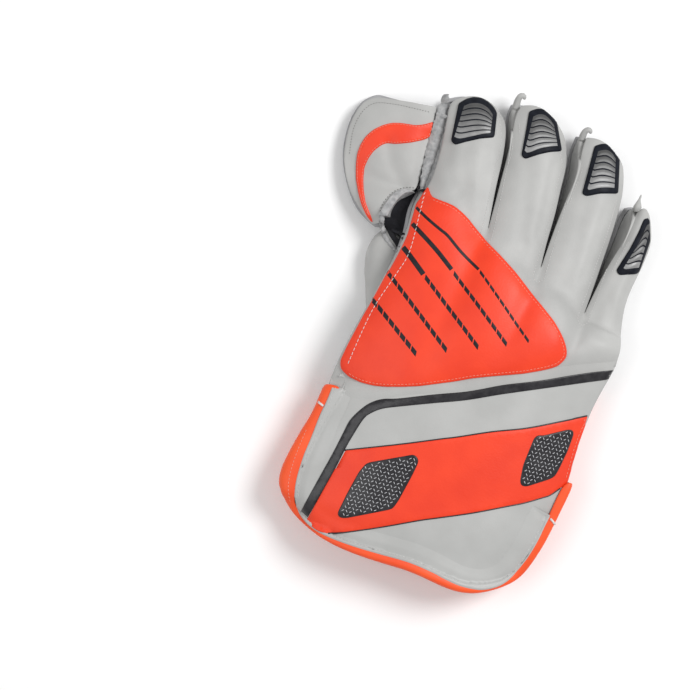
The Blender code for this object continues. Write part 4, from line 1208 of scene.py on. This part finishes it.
def inset_ring(ring, distance):
    """Ring drawn in by a distance in metres."""
    ring = np.asarray(ring)
    ahead = np.roll(ring, -2, axis=0) - np.roll(ring, 2, axis=0)
    inward = sideways(ahead) * (1 if runs_left(ring) else -1)
    moved = ring + inward * distance
    keep = distance_to(moved, ring, True) > distance * 0.9
    return moved[keep]


def away_from(places, path, distance):
    """Runs of a plan path, in metres, that keep a distance from another path."""
    clear = distance_to(places, path) > distance
    runs, run = [], []
    for place, is_clear in zip(places, clear):
        if is_clear:
            run.append(place)
        elif run:
            runs.append(run)
            run = []
    runs.append(run)
    return [np.array(r) for r in runs if len(r) > 4]


threaded("panel_seam_thread", panel_tree, [plan(THUMB_SIDE_SEAM)], WHITE_THREAD,
         "white_leather", pitch=2.9 * MM, length=2.2 * MM, thick=0.45 * MM)
edge_runs = away_from(inset_ring(ring_of("back_panel"), 1.6 * MM), plan(THUMB_SIDE_SEAM), 5 * MM)
threaded("panel_edge_thread", panel_tree, edge_runs, PINK_THREAD, "orange_leather",
         pitch=2.2 * MM, length=1.5 * MM, thick=0.34 * MM)
print("runs round the panel:", len(edge_runs))

# %% [markdown]
# Beside each slit a line of fine pale stitches runs down one side, round the foot of the
# slit and up the other.  The web's stripe has its own line just inside its edge.

# %% Stitch lines on the fingers and the web
BESIDE_SLIT = 3.6 * MM
slit_runs = []
for path in SLITS.values():
    route = smooth_path(plan(path), 2 * MM)
    ahead = np.gradient(route, axis=0)
    side = sideways(ahead)[1:]
    slit_runs.append(np.vstack([(route[1:] + side * BESIDE_SLIT)[::-1],
                                [route[0] - ahead[0] * 0.6], route[1:] - side * BESIDE_SLIT]))
threaded("finger_stitches", back_tree, slit_runs, PALE_THREAD, "white_leather",
         pitch=1.8 * MM, length=1.2 * MM, thick=0.38 * MM)
threaded("web_stripe_thread", web_top_tree, [inset_ring(ring_of("web_stripe"), 0.9 * MM)],
         PINK_THREAD, "orange_leather", pitch=1.9 * MM, length=1.3 * MM, thick=0.34 * MM,
         closed=True)
print("slits stitched round:", len(slit_runs))

# %% [markdown]
# Where a seam was sewn and turned, only the needle holes stay to be seen: along the rim of
# the web and round the thumb opening.  Each is a small dark grey mark, painted shade for
# the hollow of the hole.

# %% Needle holes, in painted shade
WEB_RIM = [(-64, 133.0), (-75, 132.8), (-85, 132.6), (-95, 131.6), (-100, 129.6), (-103.6, 125.6),
           (-106, 120), (-107.4, 112), (-107, 104), (-106, 96)]
OPENING_RIM = [(-59.5, 85.2), (-65, 84.8), (-70.5, 82.4), (-75, 78), (-78.3, 71.5), (-79.2, 65)]
hole_shade = stitches(web_top_tree, plan(WEB_RIM), pitch=1.7 * MM, length=0.7 * MM, thick=0.5 * MM)
hole_shade += stitches(web_top_tree, plan(OPENING_RIM), pitch=2.0 * MM, length=0.8 * MM,
                  thick=0.55 * MM)
joined("painted_hole_shade", hole_shade, HOLE_SHADE_PAINT)
print("holes:", len(hole_shade))

# %% [markdown]
# The cuff has a line of stitches inside its binding, which gives way to the band where
# they cross.  The binding is two layers with a stitched step, and a pale break shows at
# each end where it was joined.

# %% Thread of the cuff
CROSSING = [(-86, -122), (-64, -138)]
cuff_runs = away_from(rim + rim_in * 2.2 * MM, plan(CROSSING), 3 * MM)
threaded("cuff_edge_thread", tree_of(cuff_back, cover, band, stripe), cuff_runs, PALE_THREAD,
         "white_leather", pitch=2.2 * MM, length=1.5 * MM, thick=0.36 * MM)
SECOND_LAYER = [(-90.4, -76), (-92.6, -90), (-93.6, -104), (-92.6, -114), (-89.4, -122.4)]
edge_tree = tree_of(binding_back)
threaded("binding_thread", edge_tree, [plan(SECOND_LAYER)], PINK_THREAD, "orange_binding",
         pitch=2.2 * MM, length=1.5 * MM, thick=0.40 * MM)
BREAKS = [[(-90.6, -57.2), (-87, -58.2), (-83.8, -59.6)], [(68.8, -93.2), (70.8, -94.6), (72, -96)]]
joined("binding_breaks", [cord_on(edge_tree, plan(path), 0.7 * MM, sink=0.2) for path in BREAKS],
       WHITE_THREAD)
SIDE_LINE = [(78.6, -29), (76.2, -38), (75.2, -50), (75, -60), (74.8, -67)]
threaded("cuff_band_thread", tree_of(band, cuff_back), [plan(SIDE_LINE)], PINK_THREAD,
         "orange_leather", pitch=2.4 * MM, length=1.6 * MM, thick=0.36 * MM)
print("runs inside the binding:", len(cuff_runs))

# %% [markdown]
# ## The palm
# The catching face is moulded rubber with rows of small rings that stand up from it.  The
# rubber is drawn in by the height of a ring, so that the rings reach the solid's own face
# and the glove still lies on the floor at the same height.

# %% Pimples
PIMPLE_PITCH = 3.8 * MM
PIMPLE_HEIGHT = 0.55 * MM
PIMPLE_RINGS = ((1.25, 0.0), (0.95, 0.9), (0.65, 1.0), (0.35, 0.35))
PIMPLE_SIDES = 8
DOWN_START = 0.3
DOWN_FULL = 0.7


def draw_in(piece, depth):
    """Draw the downward faces of a piece in, fading to nothing towards its sides."""
    places = corners(piece.data)
    normals = np.empty(len(places) * 3)
    piece.data.vertices.foreach_get("normal", normals)
    normals = normals.reshape(-1, 3)
    share = np.clip((-normals[:, 2] - DOWN_START) / (DOWN_FULL - DOWN_START), 0, 1)
    move_corners(piece.data, places - normals * depth * share[:, None])


PIMPLE_ROOM = [(dx * MM, dy * MM)
               for dx, dy in ((0, 0), (1.9, 0), (-1.9, 0), (0, 1.9), (0, -1.9))]


def under_hit(tree, x, y):
    """Place and normal straight above a point of the floor, or None off the flat part."""
    hit, normal, _, _ = tree.ray_cast(Vector((x, y, -ABOVE)), Vector((0, 0, 1)))
    return (hit, normal) if hit is not None and normal.z < -DOWN_FULL else None


def pimples(tree, low, high):
    """Small open rings that stand down from the underside of a surface."""
    parts = []
    rows = np.arange(low.y, high.y, PIMPLE_PITCH * ROW_SHARE)
    for r, y in enumerate(rows):
        for x in np.arange(low.x + (r % 2) * PIMPLE_PITCH / 2, high.x, PIMPLE_PITCH):
            around = [under_hit(tree, x + dx, y + dy) for dx, dy in PIMPLE_ROOM]
            if None in around:
                continue
            hit, normal = around[0]
            side = normal.orthogonal().normalized()
            other = normal.cross(side)
            points = []
            for radius, height in PIMPLE_RINGS:
                for k in range(PIMPLE_SIDES):
                    turn = 2 * math.pi * k / PIMPLE_SIDES
                    points.append(hit + (side * math.cos(turn) + other * math.sin(turn)) * radius * MM
                                  + normal * height * PIMPLE_HEIGHT)
            faces = []
            for ring in range(len(PIMPLE_RINGS) - 1):
                for k in range(PIMPLE_SIDES):
                    m = (k + 1) % PIMPLE_SIDES
                    a = ring * PIMPLE_SIDES
                    faces.append((a + k, a + m, a + PIMPLE_SIDES + m, a + PIMPLE_SIDES + k))
            inner = (len(PIMPLE_RINGS) - 1) * PIMPLE_SIDES
            faces.append(tuple(inner + k for k in range(PIMPLE_SIDES)))
            parts.append((points, faces))
    return parts


bumps = []
for piece, node in ((palm, "palm_rubber"), (web_under, "web_rubber")):
    draw_in(piece, PIMPLE_HEIGHT)
    bumps += pimples(tree_of(piece), *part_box(node))
joined("palm_pimples", bumps, PALM_RUBBER)
print("pimples:", len(bumps))

# %% [markdown]
# On the palm side a strip of thin hide closes the wrist, and the cuff's pad is stitched
# through all round, a finger's breadth inside its binding.  The strip stays a little above
# the floor, so that its face never coincides with the flat face of the flap.

# %% Palm side of the wrist
PAD_STITCH_IN = 8 * MM
PALM_STRIP_LOWEST = 0.2 * MM
PALM_SEAM = [(-80, -53.5), (-62.5, -50.8), (-30, -41.5), (0, -28), (30, -14), (60, -1.6), (78, 4)]
palm_seam = smooth_path(plan(PALM_SEAM), 2.0 * MM)
palm_ring = between(palm_seam + np.array([0, 8]) * MM, palm_seam - np.array([0, 7]) * MM)
sewn_on("palm_wrist_hide", tree_of(palm, cuff_palm), palm_ring, 0.45 * MM, WHITE_HIDE,
        slot="white_leather", lowest=PALM_STRIP_LOWEST, mesh_size=1.8 * MM, edge=2.5 * MM,
        sunk=0.25 * MM, fading=True, laid=over_groove(drop_under, -1, GROOVE_REACH * 2), pulls=0)
pad_line = inset_ring(ring_of("cuff_palm", step=3 * MM), PAD_STITCH_IN)
threaded("palm_pad_thread", tree_of(cuff_palm), [pad_line], PALE_THREAD, "white_leather",
         pitch=2.6 * MM, length=1.8 * MM, thick=0.40 * MM, closed=True, laid=drop_under)
print("pad line:", len(pad_line))

# %% [markdown]
# ## Floor, light and camera
# The glove lies on a pale floor.  Two large disk lamps and a white room give soft shadows:
# a big lamp close by is the simplest stand-in for a photographer's soft box.

# %% Stage
FLOOR_SIZE = 12.0
floor_mesh = bpy.data.meshes.new("floor")
half = FLOOR_SIZE / 2
floor_mesh.from_pydata([(-half, -half, 0), (half, -half, 0), (half, half, 0), (-half, half, 0)],
                       [], [(0, 1, 2, 3)])
floor_paint = finish("floor paint", (0.93, 0.93, 0.93), 0.6)
mottle(floor_paint, (0.935, 0.935, 0.935), (0.925, 0.925, 0.925), 0.3)
floor = new_piece("floor", floor_mesh, floor_paint)
floor.location.z = -0.2 * MM

world = bpy.data.worlds.new("soft room")
world.use_nodes = True
world.node_tree.nodes["Background"].inputs["Color"].default_value = (1.0, 1.0, 1.0, 1.0)
world.node_tree.nodes["Background"].inputs["Strength"].default_value = 0.52
bpy.context.scene.world = world


def soft_box(name, place, size, power):
    """Area lamp of a size in metres that faces the glove."""
    lamp = bpy.data.lights.new(name, "AREA")
    lamp.shape = "DISK"
    lamp.size = size
    lamp.energy = power
    stand = bpy.data.objects.new(name, lamp)
    stand.location = place
    stand.rotation_mode = "QUATERNION"
    stand.rotation_quaternion = (-Vector(place)).to_track_quat("-Z", "Y")
    bpy.context.scene.collection.objects.link(stand)


soft_box("key box", (0.9, 0.7, 1.5), 0.8, 23.0)
soft_box("fill box", (-1.0, -0.3, 1.6), 1.2, 8.0)
print("lamps:", len(bpy.data.lights))

# %% [markdown]
# The camera looks straight down, turned a little, as the glove was photographed.  A long
# lens from far off keeps the outline nearly free of perspective.

# %% Camera
CAMERA_TURN = math.radians(14.0)
SEEN_WIDTH = 427.8 * MM
LENS = 135.0
SENSOR = 36.0
PICTURE_MIDDLE = (-80.0, -19.95)
SEEN_HEIGHT = 20 * MM
camera_data = bpy.data.cameras.new("camera")
camera_data.lens = LENS
camera_data.sensor_width = SENSOR
camera = bpy.data.objects.new("camera", camera_data)
aim = plan(PICTURE_MIDDLE)
camera.location = (aim[0], aim[1], SEEN_HEIGHT + SEEN_WIDTH * LENS / SENSOR)
camera.rotation_euler = (0.0, 0.0, CAMERA_TURN)
bpy.context.scene.collection.objects.link(camera)
bpy.context.scene.camera = camera
bpy.context.scene.view_settings.view_transform = "Standard"
print("camera height in mm:", round(camera.location.z * 1000))
